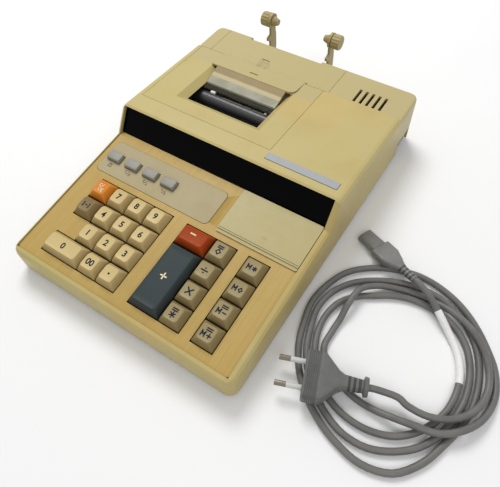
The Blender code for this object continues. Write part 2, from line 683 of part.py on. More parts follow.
def build_housing(finish):
    housing = case_form("top_case", 0.0, CASE_LOWER_EDGE, finish, cutter=False)
    inside = case_form("housing_inside", CASE_WALL, -DEEP_CUT)
    boolean(housing, inside)
    boolean(housing, ledge_frame(), "UNION")
    for bay in bay_openings():
        boolean(housing, bay)
    keyboard = cut_box(
        "keyboard_opening",
        (PLATE_LEFT_X - SEAT_GAP, PLATE_FRONT_Y - SEAT_GAP, PLATE_FRONT_HEIGHT - DEEP_CUT),
        (PLATE_RIGHT_X + SEAT_GAP, PLATE_REAR_Y, HOOD_HEIGHT))
    boolean(housing, keyboard)
    reach = math.hypot(WINDOW_TOP_Y - PLATE_REAR_Y, WINDOW_TOP_HEIGHT - PLATE_REAR_HEIGHT)
    window = cut_box(
        "window_opening",
        (PLATE_LEFT_X - SEAT_GAP, -CHEEK_PROUD, -CASE_WALL * 3),
        (PLATE_RIGHT_X + SEAT_GAP, reach + SEAT_GAP, CHEEK_PROUD * 2),
        WINDOW_FRAME)
    boolean(housing, window)
    front_bay = cut_box(
        "printer_bay",
        (PRINTER_COVER_LEFT_X, PRINTER_COVER_FRONT_Y, deck_level(CREASE_Y) - COVER_SKIN * 2),
        (PRINTER_COVER_RIGHT_X, CREASE_Y + SEAT_GAP, HOOD_HEIGHT + CUT_OVERRUN))
    shear_to_deck(front_bay, HOOD_SLOPE, CREASE_Y, COVER_SKIN + SEAT_GAP, HOOD_SLOPE)
    boolean(housing, front_bay)
    rear_bay = cut_box(
        "rear_bay",
        (REAR_COVER_LEFT_X, CREASE_Y - SEAT_GAP, 0),
        (REAR_COVER_RIGHT_X, HALF_DEPTH + CUT_OVERRUN, HOOD_HEIGHT))
    shear_to_deck(rear_bay, REAR_DECK_SLOPE, HALF_DEPTH, COVER_SKIN + SEAT_GAP, REAR_DECK_SLOPE)
    boolean(housing, rear_bay)
    lip = cut_box(
        "rear_lip_opening",
        (REAR_COVER_LEFT_X, HALF_DEPTH - CASE_CORNER_RADIUS - CUT_OVERRUN,
         REAR_COVER_LIP - SEAT_GAP),
        (REAR_COVER_RIGHT_X, HALF_DEPTH + CUT_OVERRUN, HOOD_HEIGHT))
    boolean(housing, lip)
    slot = cut_box(
        "paper_slot",
        (PAPER_NOTCH_LEFT_X, HALF_DEPTH - CASE_CORNER_RADIUS, PAPER_SLOT_LOWER_EDGE),
        (PAPER_NOTCH_RIGHT_X, HALF_DEPTH + CUT_OVERRUN, HOOD_HEIGHT))
    boolean(housing, slot)
    vents = []
    for index in range(VENT_COUNT):
        middle = VENT_FIRST_X + index * VENT_PITCH
        vents.append(((middle - VENT_WIDTH / 2, VENT_FRONT_Y, REAR_DECK_HEIGHT - CASE_WALL * 3),
                      (middle + VENT_WIDTH / 2, VENT_REAR_Y, HOOD_HEIGHT)))
    boolean(housing, add_object("vent_slots", block_mesh(vents), cutter=True))
    inlet = cut_box(
        "inlet_opening",
        (HALF_WIDTH - CASE_WALL * 2, INLET_MIDDLE_Y - INLET_WIDTH / 2, 0),
        (HALF_WIDTH + CUT_OVERRUN, INLET_MIDDLE_Y + INLET_WIDTH / 2, INLET_TOP))
    boolean(housing, inlet)
    badge = slab_mesh(BADGE_LEFT_X - SEAT_GAP, BADGE_RIGHT_X + SEAT_GAP,
                      BADGE_FRONT_Y - SEAT_GAP, BADGE_REAR_Y + SEAT_GAP,
                      BADGE_PROUD - BADGE_THICKNESS - SEAT_GAP, CASE_WALL, BADGE_CORNER_RADIUS)
    bmesh.ops.translate(badge, verts=badge.verts, vec=(0, -HOOD_REFERENCE_Y, 0))
    boolean(housing, add_object("badge_recess", badge, cutter=True, frame=HOOD_FRAME))
    smooth(housing)
    return housing


def shear_to_deck(cutter, slope, place_y, sink, top_slope):
    """Lays the floor of a bay cutter along the deck, a little below its surface."""
    floor = min(vertex.co.z for vertex in cutter.data.vertices)
    for vertex in cutter.data.vertices:
        if vertex.co.z == floor:
            level = deck_level(place_y) + slope * (vertex.co.y - place_y)
            vertex.co.z = level - sink * math.hypot(1, top_slope)


def build_tray(finish):
    """Bottom tray with its posts, the bracket lugs of the arms and the inlet gap."""
    side = CASE_WALL + TRAY_SIDE_GAP
    half_x = HALF_WIDTH - side
    half_y = HALF_DEPTH - side
    radius = CASE_CORNER_RADIUS - side
    outer = slab_mesh(-half_x, half_x, -half_y, half_y, FOOT_HEIGHT + SEAT_GAP,
                      FOOT_HEIGHT + TRAY_WALL_HEIGHT, radius, CORNER_STEPS)
    tray = add_object("bottom_case", outer, finish)
    inner = slab_mesh(TRAY_WALL - half_x, half_x - TRAY_WALL, TRAY_WALL - half_y,
                      half_y - TRAY_WALL, TRAY_TOP, DEEP_CUT, radius - TRAY_WALL, CORNER_STEPS)
    boolean(tray, add_object("tray_inside", inner, cutter=True))
    gap = cut_box(
        "tray_inlet_gap",
        (HALF_WIDTH - side - TRAY_WALL * 2, INLET_MIDDLE_Y - INLET_WIDTH / 2, TRAY_TOP),
        (HALF_WIDTH, INLET_MIDDLE_Y + INLET_WIDTH / 2, DEEP_CUT))
    boolean(tray, gap)
    posts = []
    embed = TRAY_TOP - TRAY_FLOOR_THICKNESS / 2
    for x, y in BOARD_POSTS:
        top = plate_level(y) - BOARD_DROP - BOARD_THICKNESS - SEAT_GAP * 2
        posts.append(((x, y, embed), (x, y, top), BOSS_RADIUS))
    for x in (MAIN_BOARD_LEFT_X + BOSS_RADIUS, MAIN_BOARD_RIGHT_X - BOSS_RADIUS):
        for y in (MAIN_BOARD_FRONT_Y + BOSS_RADIUS, MAIN_BOARD_REAR_Y - BOSS_RADIUS):
            posts.append(((x, y, embed), (x, y, MAIN_BOARD_HEIGHT - SEAT_GAP), BOSS_RADIUS))
    boolean(tray, add_object("tray_posts", round_mesh(posts, BOSS_SIDES), cutter=True), "UNION")
    return tray


def arm_lugs():
    """Lugs on the rear wall that carry the cross rod of the paper arms."""
    lugs = []
    for x in LUG_PLACES:
        lugs.append(((x, ARM_PIVOT_Y, ARM_PIVOT_HEIGHT),
                     (x + LUG_THICKNESS, ARM_PIVOT_Y, ARM_PIVOT_HEIGHT), LUG_RADIUS))
    source = round_mesh(lugs, BOSS_SIDES)
    webs = []
    for x in LUG_PLACES:
        webs.append(((x, HALF_DEPTH - CASE_WALL / 2, ARM_PIVOT_HEIGHT - LUG_RADIUS / 2),
                     (x + LUG_THICKNESS, ARM_PIVOT_Y, ARM_PIVOT_HEIGHT + LUG_RADIUS / 2)))
    return source, block_mesh(webs)


def fuse_lugs(housing):
    discs, webs = arm_lugs()
    boolean(housing, add_object("arm_lug_webs", webs, cutter=True), "UNION")
    boolean(housing, add_object("arm_lug_discs", discs, cutter=True), "UNION")
    rod = ((LUG_PLACES[0] - CUT_OVERRUN, ARM_PIVOT_Y, ARM_PIVOT_HEIGHT),
           (LUG_PLACES[-1] + LUG_THICKNESS + CUT_OVERRUN, ARM_PIVOT_Y, ARM_PIVOT_HEIGHT),
           ARM_ROD_RADIUS + RUN_GAP)
    boolean(housing, add_object("arm_rod_bore", round_mesh([rod], SHAFT_SIDES), cutter=True))


def build_feet(finish):
    for side, x in (("left", -FOOT_X), ("right", FOOT_X)):
        for end, y in (("front", FOOT_FRONT_Y), ("rear", FOOT_REAR_Y)):
            foot = round_mesh([((0, 0, 0), (0, 0, FOOT_HEIGHT), FOOT_RADIUS)], ROUND_SIDES)
            item = add_object(f"foot_{end}_{side}", foot, finish)
            item.location = (x, y, 0)
            smooth(item)


# Keyboard
def key_places():
    """Every key with the middle of its cell and its size, in the keyboard frame."""
    places = []
    wells = [(NUMBER_WELL_X, NUMBER_KEYS), (FUNCTION_WELL_X, FUNCTION_KEYS),
             (MEMORY_WELL_X, MEMORY_KEYS)]
    for left, keys in wells:
        for name, column, row, columns, rows, colour in keys:
            low_x = left + column * KEY_PITCH
            high_x = low_x + columns * KEY_PITCH
            low_y = WELLS_FRONT + row * KEY_PITCH
            high_y = low_y + rows * KEY_PITCH
            places.append((name, (low_x, high_x, low_y, high_y), colour))
    return places


def cap_mesh(half_x, half_y, top, skirt, stem_half, stem_bottom, inset):
    """A key cap as a loft from its stem up over the skirt to the dished top."""
    corner = KEY_CORNER_RADIUS
    shoulder = KEY_SHOULDER_HEIGHT
    rim = top - KEY_RIM_DROP
    levels = [
        (stem_half, stem_half, KEY_STEM_CORNER, stem_bottom),
        (stem_half, stem_half, KEY_STEM_CORNER, -skirt),
        (half_x, half_y, corner, -skirt),
        (half_x, half_y, corner, shoulder),
        (half_x - inset + KEY_RIM / 2, half_y - inset + KEY_RIM / 2, corner, rim),
        (half_x - inset, half_y - inset, corner - KEY_RIM / 2, top),
        (half_x - inset - KEY_RIM, half_y - inset - KEY_RIM, corner - KEY_RIM, top - KEY_DISH),
    ]
    rings = []
    for reach_x, reach_y, radius, level in levels:
        outline = round_corners(reach_x, reach_y, radius, 2)
        rings.append([(x, y, level) for x, y in outline])
    return loft_mesh(rings)


def build_keys(finishes):
    for name, (low_x, high_x, low_y, high_y), colour in key_places():
        half_x = (high_x - low_x - KEY_GAP) / 2
        half_y = (high_y - low_y - KEY_GAP) / 2
        cap = cap_mesh(half_x, half_y, KEY_HEIGHT, KEY_SKIRT_DEPTH, KEY_STEM_WIDTH / 2,
                       STEM_BOTTOM, KEY_TOP_INSET)
        key = add_object(name, cap, finishes[colour], KEYBOARD_FRAME)
        key.location = ((low_x + high_x) / 2, (low_y + high_y) / 2, 0)
        smooth(key)


def button_middle(index):
    return BUTTON_FIRST_X + index * BUTTON_PITCH


def build_buttons(finish):
    for index in range(BUTTON_COUNT):
        cap = cap_mesh(BUTTON_WIDTH / 2, BUTTON_DEPTH / 2, BUTTON_HEIGHT, KEY_SKIRT_DEPTH,
                       KEY_STEM_WIDTH / 2, STEM_BOTTOM, KEY_RIM)
        button = add_object(f"push_button_{index + 1}", cap, finish, KEYBOARD_FRAME)
        button.location = (button_middle(index), BUTTON_ROW, 0)
        smooth(button)


def build_plate(finish):
    """The keyboard plate with its wells, button holes, selector tray and bosses."""
    low_x = PLATE_LEFT_X
    high_x = PLATE_RIGHT_X
    rear = plate_reach(PLATE_REAR_Y) - SEAT_GAP
    plate = add_object("keyboard_plate",
                       slab_mesh(low_x, high_x, 0, rear, -PLATE_THICKNESS, 0, PLATE_CORNER_RADIUS),
                       finish, KEYBOARD_FRAME)
    for index, cell in enumerate(merged_wells()):
        boolean(plate, cut_box(f"well_{index + 1}", cell[0], cell[1], KEYBOARD_FRAME))
    recess = slab_mesh(INLAY_LEFT_X - SEAT_GAP, INLAY_RIGHT_X + SEAT_GAP,
                       plate_reach(INLAY_FRONT_Y) - SEAT_GAP, plate_reach(INLAY_REAR_Y) + SEAT_GAP,
                       INLAY_PROUD - INLAY_THICKNESS - SEAT_GAP, PLATE_THICKNESS,
                       INLAY_CORNER_RADIUS)
    boolean(plate, add_object("inlay_recess", recess, cutter=True, frame=KEYBOARD_FRAME))
    boolean(plate, button_holes("plate_button_holes"))
    tray = cut_box(
        "selector_tray",
        (LID_LEFT_X + TRAY_MARGIN, plate_reach(LID_FRONT_Y) + TRAY_MARGIN, -PLATE_THICKNESS * 2),
        (PLATE_RIGHT_X - TRAY_MARGIN, LID_REACH - TRAY_MARGIN, PLATE_THICKNESS),
        KEYBOARD_FRAME)
    boolean(plate, tray)
    bosses = []
    for x, y in BOARD_POSTS:
        along = plate_reach(y)
        bosses.append(((x, along, -PLATE_THICKNESS / 2), (x, along, SEAT_GAP - BOARD_DROP),
                       BOSS_RADIUS))
    boolean(plate, add_object("plate_bosses", round_mesh(bosses, BOSS_SIDES), cutter=True,
                              frame=KEYBOARD_FRAME), "UNION")
    return plate


def merged_wells():
    """The key wells as a few boxes that overlap into one outline each."""
    low = -PLATE_THICKNESS * 2
    high = PLATE_THICKNESS
    margin = WELL_MARGIN
    row_3 = WELLS_FRONT + KEY_PITCH
    row_2 = WELLS_FRONT + KEY_PITCH * 2
    rear = WELLS_FRONT + KEY_PITCH * KEY_ROWS
    number_right = NUMBER_WELL_X + KEY_PITCH * 4
    wells = [
        (NUMBER_WELL_X, number_right, row_2, rear),
        (NUMBER_WELL_X, number_right, WELLS_FRONT, row_3),
        (NUMBER_WELL_X + KEY_PITCH, number_right, WELLS_FRONT, rear),
        (FUNCTION_WELL_X, FUNCTION_WELL_X + KEY_PITCH * 2.5, WELLS_FRONT, rear),
        (MEMORY_WELL_X, MEMORY_WELL_X + KEY_PITCH, WELLS_FRONT, rear),
    ]
    boxes = []
    for low_x, high_x, low_y, high_y in wells:
        boxes.append(((low_x - margin, low_y - margin, low), (high_x + margin, high_y + margin, high)))
    return boxes


def button_holes(name):
    boxes = []
    for index in range(BUTTON_COUNT):
        middle = button_middle(index)
        reach_x = BUTTON_WIDTH / 2 + RUN_GAP
        reach_y = BUTTON_DEPTH / 2 + RUN_GAP
        boxes.append(((middle - reach_x, BUTTON_ROW - reach_y, -PLATE_THICKNESS * 2),
                      (middle + reach_x, BUTTON_ROW + reach_y, PLATE_THICKNESS)))
    return add_object(name, block_mesh(boxes), cutter=True, frame=KEYBOARD_FRAME)


def build_inlay(finish):
    inlay = add_object("inlay_panel",
                       slab_mesh(INLAY_LEFT_X, INLAY_RIGHT_X, plate_reach(INLAY_FRONT_Y),
                                 plate_reach(INLAY_REAR_Y), INLAY_PROUD - INLAY_THICKNESS,
                                 INLAY_PROUD, INLAY_CORNER_RADIUS),
                       finish, KEYBOARD_FRAME)
    boolean(inlay, button_holes("inlay_button_holes"))
    return inlay


def build_key_board(finish):
    """The board under the plate that guides every stem."""
    rear = plate_reach(PLATE_REAR_Y) - BOARD_MARGIN
    board = add_object(
        "key_board",
        block_mesh([((PLATE_LEFT_X + BOARD_MARGIN, BOARD_MARGIN, -BOARD_DROP - BOARD_THICKNESS),
                     (PLATE_RIGHT_X - BOARD_MARGIN, rear, -BOARD_DROP))]),
        finish, KEYBOARD_FRAME)
    holes = []
    reach = KEY_STEM_WIDTH / 2 + RUN_GAP
    bottom = -BOARD_DROP - BOARD_THICKNESS * 2
    top = BOARD_THICKNESS - BOARD_DROP
    middles = [((low_x + high_x) / 2, (low_y + high_y) / 2)
               for name, (low_x, high_x, low_y, high_y), colour in key_places()]
    middles += [(button_middle(index), BUTTON_ROW) for index in range(BUTTON_COUNT)]
    for x, y in middles:
        holes.append(((x - reach, y - reach, bottom), (x + reach, y + reach, top)))
    for index in range(SELECTOR_COUNT):
        x = SELECTOR_FIRST_X + index * SELECTOR_PITCH
        along = plate_reach(SELECTOR_Y)
        half = SELECTOR_STEM_WIDTH / 2 + RUN_GAP
        run = SELECTOR_TRAVEL + half
        holes.append(((x - run, along - half, bottom), (x + run, along + half, top)))
    boolean(board, add_object("stem_holes", block_mesh(holes), cutter=True, frame=KEYBOARD_FRAME))
    return board


def build_selectors(finish):
    for index in range(SELECTOR_COUNT):
        bottom = SEAT_GAP - BOARD_DROP
        knob = add_object(
            f"selector_knob_{index + 1}",
            block_mesh([((-SELECTOR_WIDTH / 2, -SELECTOR_DEPTH / 2, bottom),
                         (SELECTOR_WIDTH / 2, SELECTOR_DEPTH / 2, bottom + SELECTOR_HEIGHT))]),
            finish, KEYBOARD_FRAME)
        half = SELECTOR_STEM_WIDTH / 2
        stem = cut_box(f"selector_stem_{index + 1}",
                       (-half, -half, bottom - BOARD_THICKNESS - SEAT_GAP * 2),
                       (half, half, bottom + SELECTOR_HEIGHT / 2))
        stem.parent = knob
        boolean(knob, stem, "UNION")
        knob.location = (SELECTOR_FIRST_X + index * SELECTOR_PITCH, plate_reach(SELECTOR_Y), 0)


def build_lid(finish):
    """The selector lid, with its origin on the hinge line along its upper rear edge."""
    low_x = LID_LEFT_X
    high_x = PLATE_RIGHT_X - SEAT_GAP
    front = plate_reach(LID_FRONT_Y) - LID_REACH
    lid = add_object("selector_lid",
                     slab_mesh(low_x, high_x, front, 0, -LID_THICKNESS, 0, LID_CORNER_RADIUS),
                     finish, KEYBOARD_FRAME)
    lid.location = (0, LID_REACH, SEAT_GAP + LID_THICKNESS)
    step = cut_box(
        "lid_step",
        (low_x - CUT_OVERRUN, front - CUT_OVERRUN, LID_LIP_HEIGHT - LID_THICKNESS),
        (high_x + CUT_OVERRUN, front + LID_LIP_DEPTH, LID_THICKNESS))
    step.parent = lid
    boolean(lid, step)
    return lid


# Display
def build_window(finish):
    reach = math.hypot(WINDOW_TOP_Y - PLATE_REAR_Y, WINDOW_TOP_HEIGHT - PLATE_REAR_HEIGHT)
    window = add_object(
        "display_window",
        block_mesh([((PLATE_LEFT_X, SEAT_GAP, -WINDOW_THICKNESS), (PLATE_RIGHT_X, reach, 0))]),
        finish, WINDOW_FRAME)
    return window


def build_tube(finish):
    """The display tube, held behind the window on two feet."""
    width, depth, height = TUBE_SIZE
    reach = math.hypot(WINDOW_TOP_Y - PLATE_REAR_Y, WINDOW_TOP_HEIGHT - PLATE_REAR_HEIGHT)
    middle = reach / 2
    face = -WINDOW_THICKNESS - SEAT_GAP
    tube = add_object(
        "display_tube",
        block_mesh([((-width / 2, middle - height / 2, face - depth),
                     (width / 2, middle + height / 2, face))]),
        finish, WINDOW_FRAME)
    bevel(tube, TUBE_STANDOFF / 3, 1)
    return tube


# Deck covers
def deck_skin(name, region_low, region_high, finish):
    """A cover cut from the same form as the housing, so that it lies flush."""
    cover = case_form(name, 0.0, CASE_LOWER_EDGE, finish, cutter=False)
    inside = case_form(f"{name}_inside", COVER_SKIN, -DEEP_CUT)
    boolean(cover, cut_box(f"{name}_region", region_low, region_high), "INTERSECT")
    boolean(cover, inside)
    return cover


def funnel_tool(name, spread, top_lift, bottom_drop):
    """The tapered surround of the print opening, in the frame of the hood."""
    front_low = PRINT_FRONT_Y - spread
    front_high = FUNNEL_FRONT_Y - spread
    rear = TONGUE_FRONT_Y + CUT_OVERRUN
    share = (FUNNEL_DEPTH + bottom_drop) / FUNNEL_DEPTH
    rings = []
    levels = [(-bottom_drop - FUNNEL_DEPTH, 1 - share), (-FUNNEL_DEPTH, 0.0), (0.0, 1.0),
              (top_lift, 1.0 + top_lift / FUNNEL_DEPTH)]
    for level, part in levels:
        blend = max(part, 0.0)
        left = PRINT_LEFT_X + (FUNNEL_LEFT_X - PRINT_LEFT_X) * blend - spread
        right = PRINT_RIGHT_X + (FUNNEL_RIGHT_X - PRINT_RIGHT_X) * blend + spread
        front = front_low + (front_high - front_low) * blend
        rings.append([(left, front - HOOD_REFERENCE_Y, level),
                      (right, front - HOOD_REFERENCE_Y, level),
                      (right, rear - HOOD_REFERENCE_Y, level),
                      (left, rear - HOOD_REFERENCE_Y, level)])
    return add_object(name, loft_mesh(rings), cutter=True, frame=HOOD_FRAME)


def build_printer_cover(finish):
    low = (PRINTER_COVER_LEFT_X + SEAT_GAP, PRINTER_COVER_FRONT_Y + SEAT_GAP, CASE_LOWER_EDGE * 2)
    high = (PRINTER_COVER_RIGHT_X - SEAT_GAP, CREASE_Y - SEAT_GAP, HOOD_HEIGHT * 2)
    cover = deck_skin("printer_cover", low, high, finish)
    underside = cut_box(
        "cover_underside",
        (PRINTER_COVER_LEFT_X - CUT_OVERRUN, CREASE_Y - HOOD_REFERENCE_Y - COVER_SKIN * 4,
         -COVER_SKIN * 4),
        (PRINTER_COVER_RIGHT_X + CUT_OVERRUN, CREASE_Y - HOOD_REFERENCE_Y + COVER_SKIN * 2,
         -COVER_SKIN),
        HOOD_FRAME)
    boolean(cover, underside)
    collar = cut_box(
        "print_collar",
        (FUNNEL_LEFT_X - FUNNEL_WALL, FUNNEL_FRONT_Y - FUNNEL_WALL - HOOD_REFERENCE_Y,
         -FUNNEL_DEPTH),
        (FUNNEL_RIGHT_X + FUNNEL_WALL, TONGUE_FRONT_Y - HOOD_REFERENCE_Y, -COVER_SKIN / 2),
        HOOD_FRAME)
    boolean(cover, collar, "UNION")
    boolean(cover, funnel_tool("print_funnel", 0.0, CASE_WALL, CASE_WALL))
    notch = tongue_outline("tongue_notch", SEAT_GAP)
    boolean(cover, notch)
    smooth(cover)
    cover_origin(cover, (0, CREASE_Y - SEAT_GAP, deck_level(CREASE_Y - SEAT_GAP)))
    return cover


def cover_origin(item, place):
    """Puts the origin on the hinge line and leaves the solid where it is."""
    item.data.transform(Matrix.Translation(-Vector(place)))
    item.location = place


def tongue_outline(name, margin):
    """The plan of the tongue between the covers, with its round lobe at the right."""
    left = TONGUE_LEFT_X - margin
    right = TONGUE_RIGHT_X + margin
    front = TONGUE_FRONT_Y - margin
    rear = CREASE_Y + CUT_OVERRUN
    radius = TONGUE_LOBE_RADIUS
    points = [(left, rear), (left, front)]
    for step in range(CORNER_STEPS + 1):
        angle = math.pi / 2 * (1 - step / CORNER_STEPS)
        points.append((right - radius + radius * math.cos(angle),
                       front + radius - radius * math.sin(angle)))
    points.append((right, rear))
    rings = [[(x, y, level) for x, y in points] for level in (0, HOOD_HEIGHT * 2)]
    return add_object(name, loft_mesh(rings), cutter=True)


def build_tear_bar(finish):
    """The clear tear bar, lying from the print opening up to the tongue."""
    rear = TONGUE_FRONT_Y - SEAT_GAP * 2
    run = rear - TEAR_BAR_FRONT_Y
    rise = TEAR_BAR_TOP_HEIGHT - TEAR_BAR_FRONT_HEIGHT
    drop = TEAR_BAR_THICKNESS * math.hypot(run, rise) / run
    outline = [(TEAR_BAR_FRONT_Y, TEAR_BAR_FRONT_HEIGHT - drop),
               (rear, TEAR_BAR_TOP_HEIGHT - drop),
               (rear, TEAR_BAR_TOP_HEIGHT),
               (TEAR_BAR_FRONT_Y, TEAR_BAR_FRONT_HEIGHT)]
    return add_object("tear_bar",
                      extruded_mesh(outline, PRINT_LEFT_X + SEAT_GAP, PRINT_RIGHT_X - SEAT_GAP),
                      finish)


def build_rear_cover(finish):
    """The rear cover with its raised tongue, paper notch and two latch slots."""
    low = (REAR_COVER_LEFT_X + SEAT_GAP, CREASE_Y + SEAT_GAP, REAR_COVER_LIP)
    high = (REAR_COVER_RIGHT_X - SEAT_GAP, HALF_DEPTH + CUT_OVERRUN, HOOD_HEIGHT * 2)
    cover = deck_skin("rear_cover", low, high, finish)
    flat_y = CREASE_Y + LEDGE_WIDTH * 2
    flat = deck_level(flat_y)
    outline = [(TONGUE_FRONT_Y, TONGUE_FRONT_HEIGHT - COVER_SKIN),
               (flat_y, flat - COVER_SKIN / 2),
               (flat_y, flat - SEAT_GAP / 3),
               (CREASE_Y, CREASE_HEIGHT),
               (TONGUE_FRONT_Y, TONGUE_FRONT_HEIGHT)]
    tongue = add_object("tongue", extruded_mesh(outline, TONGUE_LEFT_X, TONGUE_RIGHT_X),
                        cutter=True)
    plan = tongue_outline("tongue_plan", 0.0)
    for vertex in plan.data.vertices:
        if vertex.co.y > CREASE_Y:
            vertex.co.y = flat_y + CUT_OVERRUN
    boolean(tongue, plan, "INTERSECT")
    boolean(cover, tongue, "UNION")
    notch = cut_box(
        "paper_notch",
        (PAPER_NOTCH_LEFT_X, HALF_DEPTH - PAPER_NOTCH_DEPTH, 0),
        (PAPER_NOTCH_RIGHT_X, HALF_DEPTH + CUT_OVERRUN, HOOD_HEIGHT * 2))
    boolean(cover, notch)
    slots = []
    for x, y in (LATCH_FRONT, LATCH_REAR):
        level = tongue_level(y)
        slots.append(((x - LATCH_SLOT_WIDTH / 2, y - LATCH_SLOT_DEPTH / 2, level - LATCH_SLOT_CUT),
                      (x + LATCH_SLOT_WIDTH / 2, y + LATCH_SLOT_DEPTH / 2, HOOD_HEIGHT * 2)))
    boolean(cover, add_object("latch_slots", block_mesh(slots), cutter=True))
    smooth(cover)
    return cover


def tongue_level(y):
    """Height of the rear cover's surface, on its ramp or on the rear deck."""
    if y > CREASE_Y:
        return deck_level(y)
    share = (CREASE_Y - y) / (CREASE_Y - TONGUE_FRONT_Y)
    return CREASE_HEIGHT + (TONGUE_FRONT_HEIGHT - CREASE_HEIGHT) * share


def build_badge(finish):
    badge = slab_mesh(BADGE_LEFT_X, BADGE_RIGHT_X, BADGE_FRONT_Y, BADGE_REAR_Y,
                      BADGE_PROUD - BADGE_THICKNESS, BADGE_PROUD, BADGE_CORNER_RADIUS)
    bmesh.ops.translate(badge, verts=badge.verts, vec=(0, -HOOD_REFERENCE_Y, 0))
    return add_object("badge_plate", badge, finish, HOOD_FRAME)


# Printer mechanism
def build_chassis(finish):
    """A folded sheet chassis: floor, two cheeks and a front bar."""
    low_x = CHASSIS_LEFT_X
    high_x = CHASSIS_RIGHT_X
    base = TRAY_TOP + SEAT_GAP
    sheet = CHASSIS_SHEET
    front = CHASSIS_FRONT_Y
    rear = CHASSIS_REAR_Y
    floor = ((low_x, front, base), (high_x, rear, base + sheet))
    chassis = add_object("printer_chassis", block_mesh([floor]), finish)
    cheeks = [((low_x, front, base + sheet / 2), (low_x + sheet, rear, CHASSIS_TOP)),
              ((high_x - sheet, front, base + sheet / 2), (high_x, rear, CHASSIS_TOP))]
    boolean(chassis, add_object("chassis_cheeks", block_mesh(cheeks), cutter=True), "UNION")
    bars = [((low_x + sheet / 2, front, DRUM_HEIGHT - DRUM_RADIUS * 2.5),
             (high_x - sheet / 2, front + sheet, DRUM_HEIGHT)),
            ((low_x + sheet / 2, rear - sheet, PLATEN_HEIGHT - PLATEN_RADIUS * 2),
             (high_x - sheet / 2, rear, PLATEN_HEIGHT))]
    boolean(chassis, add_object("chassis_bars", block_mesh(bars), cutter=True), "UNION")
    bores = []
    for y, height in ((PLATEN_Y, PLATEN_HEIGHT), (DRUM_Y, DRUM_HEIGHT)):
        bores.append(((low_x - sheet, y, height), (high_x + sheet, y, height),
                      SHAFT_RADIUS + RUN_GAP / 2))
    boolean(chassis, add_object("roller_bores", round_mesh(bores, SHAFT_SIDES), cutter=True))
    return chassis


def build_roller(name, y, height, radius, finish):
    """A roller with its shaft ends, its origin on its own axis."""
    inner = CHASSIS_SHEET + ROLLER_SIDE_PLAY
    roller = add_object(
        name, round_mesh([((CHASSIS_LEFT_X + inner, 0, 0), (CHASSIS_RIGHT_X - inner, 0, 0), radius)],
                         ROUND_SIDES), finish)
    shaft = round_mesh([((CHASSIS_LEFT_X - ROLLER_SIDE_PLAY, 0, 0),
                         (CHASSIS_RIGHT_X + ROLLER_SIDE_PLAY, 0, 0), SHAFT_RADIUS)], SHAFT_SIDES)
    tool = add_object(f"{name}_shaft", shaft, cutter=True)
    tool.parent = roller
    boolean(roller, tool, "UNION")
    roller.location = (0, y, height)
    smooth(roller)
    return roller


def build_motor(finish):
    end = CHASSIS_LEFT_X - SEAT_GAP
    motor = round_mesh([((end - MOTOR_LENGTH, MOTOR_Y, MOTOR_HEIGHT), (end, MOTOR_Y, MOTOR_HEIGHT),
                         MOTOR_RADIUS)], ROUND_SIDES)
    item = add_object("paper_motor", motor, finish)
    smooth(item)
    return item


# Electronics and inlet
def build_main_board(finish):
    return add_object(
        "main_board",
        block_mesh([((MAIN_BOARD_LEFT_X, MAIN_BOARD_FRONT_Y, MAIN_BOARD_HEIGHT),
                     (MAIN_BOARD_RIGHT_X, MAIN_BOARD_REAR_Y, MAIN_BOARD_HEIGHT + BOARD_THICKNESS))]),
        finish)


def build_transformer(finish):
    x, y = TRANSFORMER_PLACE
    base = TRAY_TOP + SEAT_GAP
    core_z = CORE_TOP - base
    coil_x, coil_y, coil_z = COIL_SIZE
    core = add_object("transformer",
                      block_mesh([((x - CORE_WIDTH / 2, y - CORE_DEPTH / 2, base),
                                   (x + CORE_WIDTH / 2, y + CORE_DEPTH / 2, CORE_TOP))]), finish)
    middle = base + core_z / 2
    coil = cut_box("transformer_coil", (x - coil_x / 2, y - coil_y / 2, middle - coil_z / 2),
                   (x + coil_x / 2, y + coil_y / 2, middle + coil_z / 2))
    bevel(coil, SOCKET_RADIUS, 2)
    boolean(core, coil, "UNION")
    return core


def build_inlet(finish):
    """The mains inlet, with a figure of eight socket and its two pins."""
    face = HALF_WIDTH - INLET_SETBACK
    low = (face - INLET_BODY_DEPTH, INLET_MIDDLE_Y - INLET_BODY_WIDTH / 2, TRAY_TOP + SEAT_GAP)
    high = (face, INLET_MIDDLE_Y + INLET_BODY_WIDTH / 2, INLET_TOP - SEAT_GAP)
    inlet = add_object("mains_inlet", block_mesh([(low, high)]), finish)
    half = SOCKET_PIN_SPACING / 2
    rounds = []
    for side in (-half, half):
        rounds.append(((face - SOCKET_DEPTH, INLET_MIDDLE_Y + side, INLET_AXIS_HEIGHT),
                       (face + CUT_OVERRUN, INLET_MIDDLE_Y + side, INLET_AXIS_HEIGHT),
                       SOCKET_RADIUS))
    boolean(inlet, add_object("socket_rounds", round_mesh(rounds, ROUND_SIDES), cutter=True))
    waist = SOCKET_RADIUS * SOCKET_WAIST_SHARE
    middle = cut_box("socket_waist",
                     (face - SOCKET_DEPTH, INLET_MIDDLE_Y - half, INLET_AXIS_HEIGHT - waist),
                     (face + CUT_OVERRUN, INLET_MIDDLE_Y + half, INLET_AXIS_HEIGHT + waist))
    boolean(inlet, middle)
    pins = []
    for side in (-half, half):
        start = face - SOCKET_DEPTH - SOCKET_PIN_RADIUS
        pins.append(((start, INLET_MIDDLE_Y + side, INLET_AXIS_HEIGHT),
                     (face - SOCKET_DEPTH + SOCKET_PIN_LENGTH, INLET_MIDDLE_Y + side,
                      INLET_AXIS_HEIGHT), SOCKET_PIN_RADIUS))
    boolean(inlet, add_object("socket_pins", round_mesh(pins, SHAFT_SIDES), cutter=True), "UNION")
    return inlet


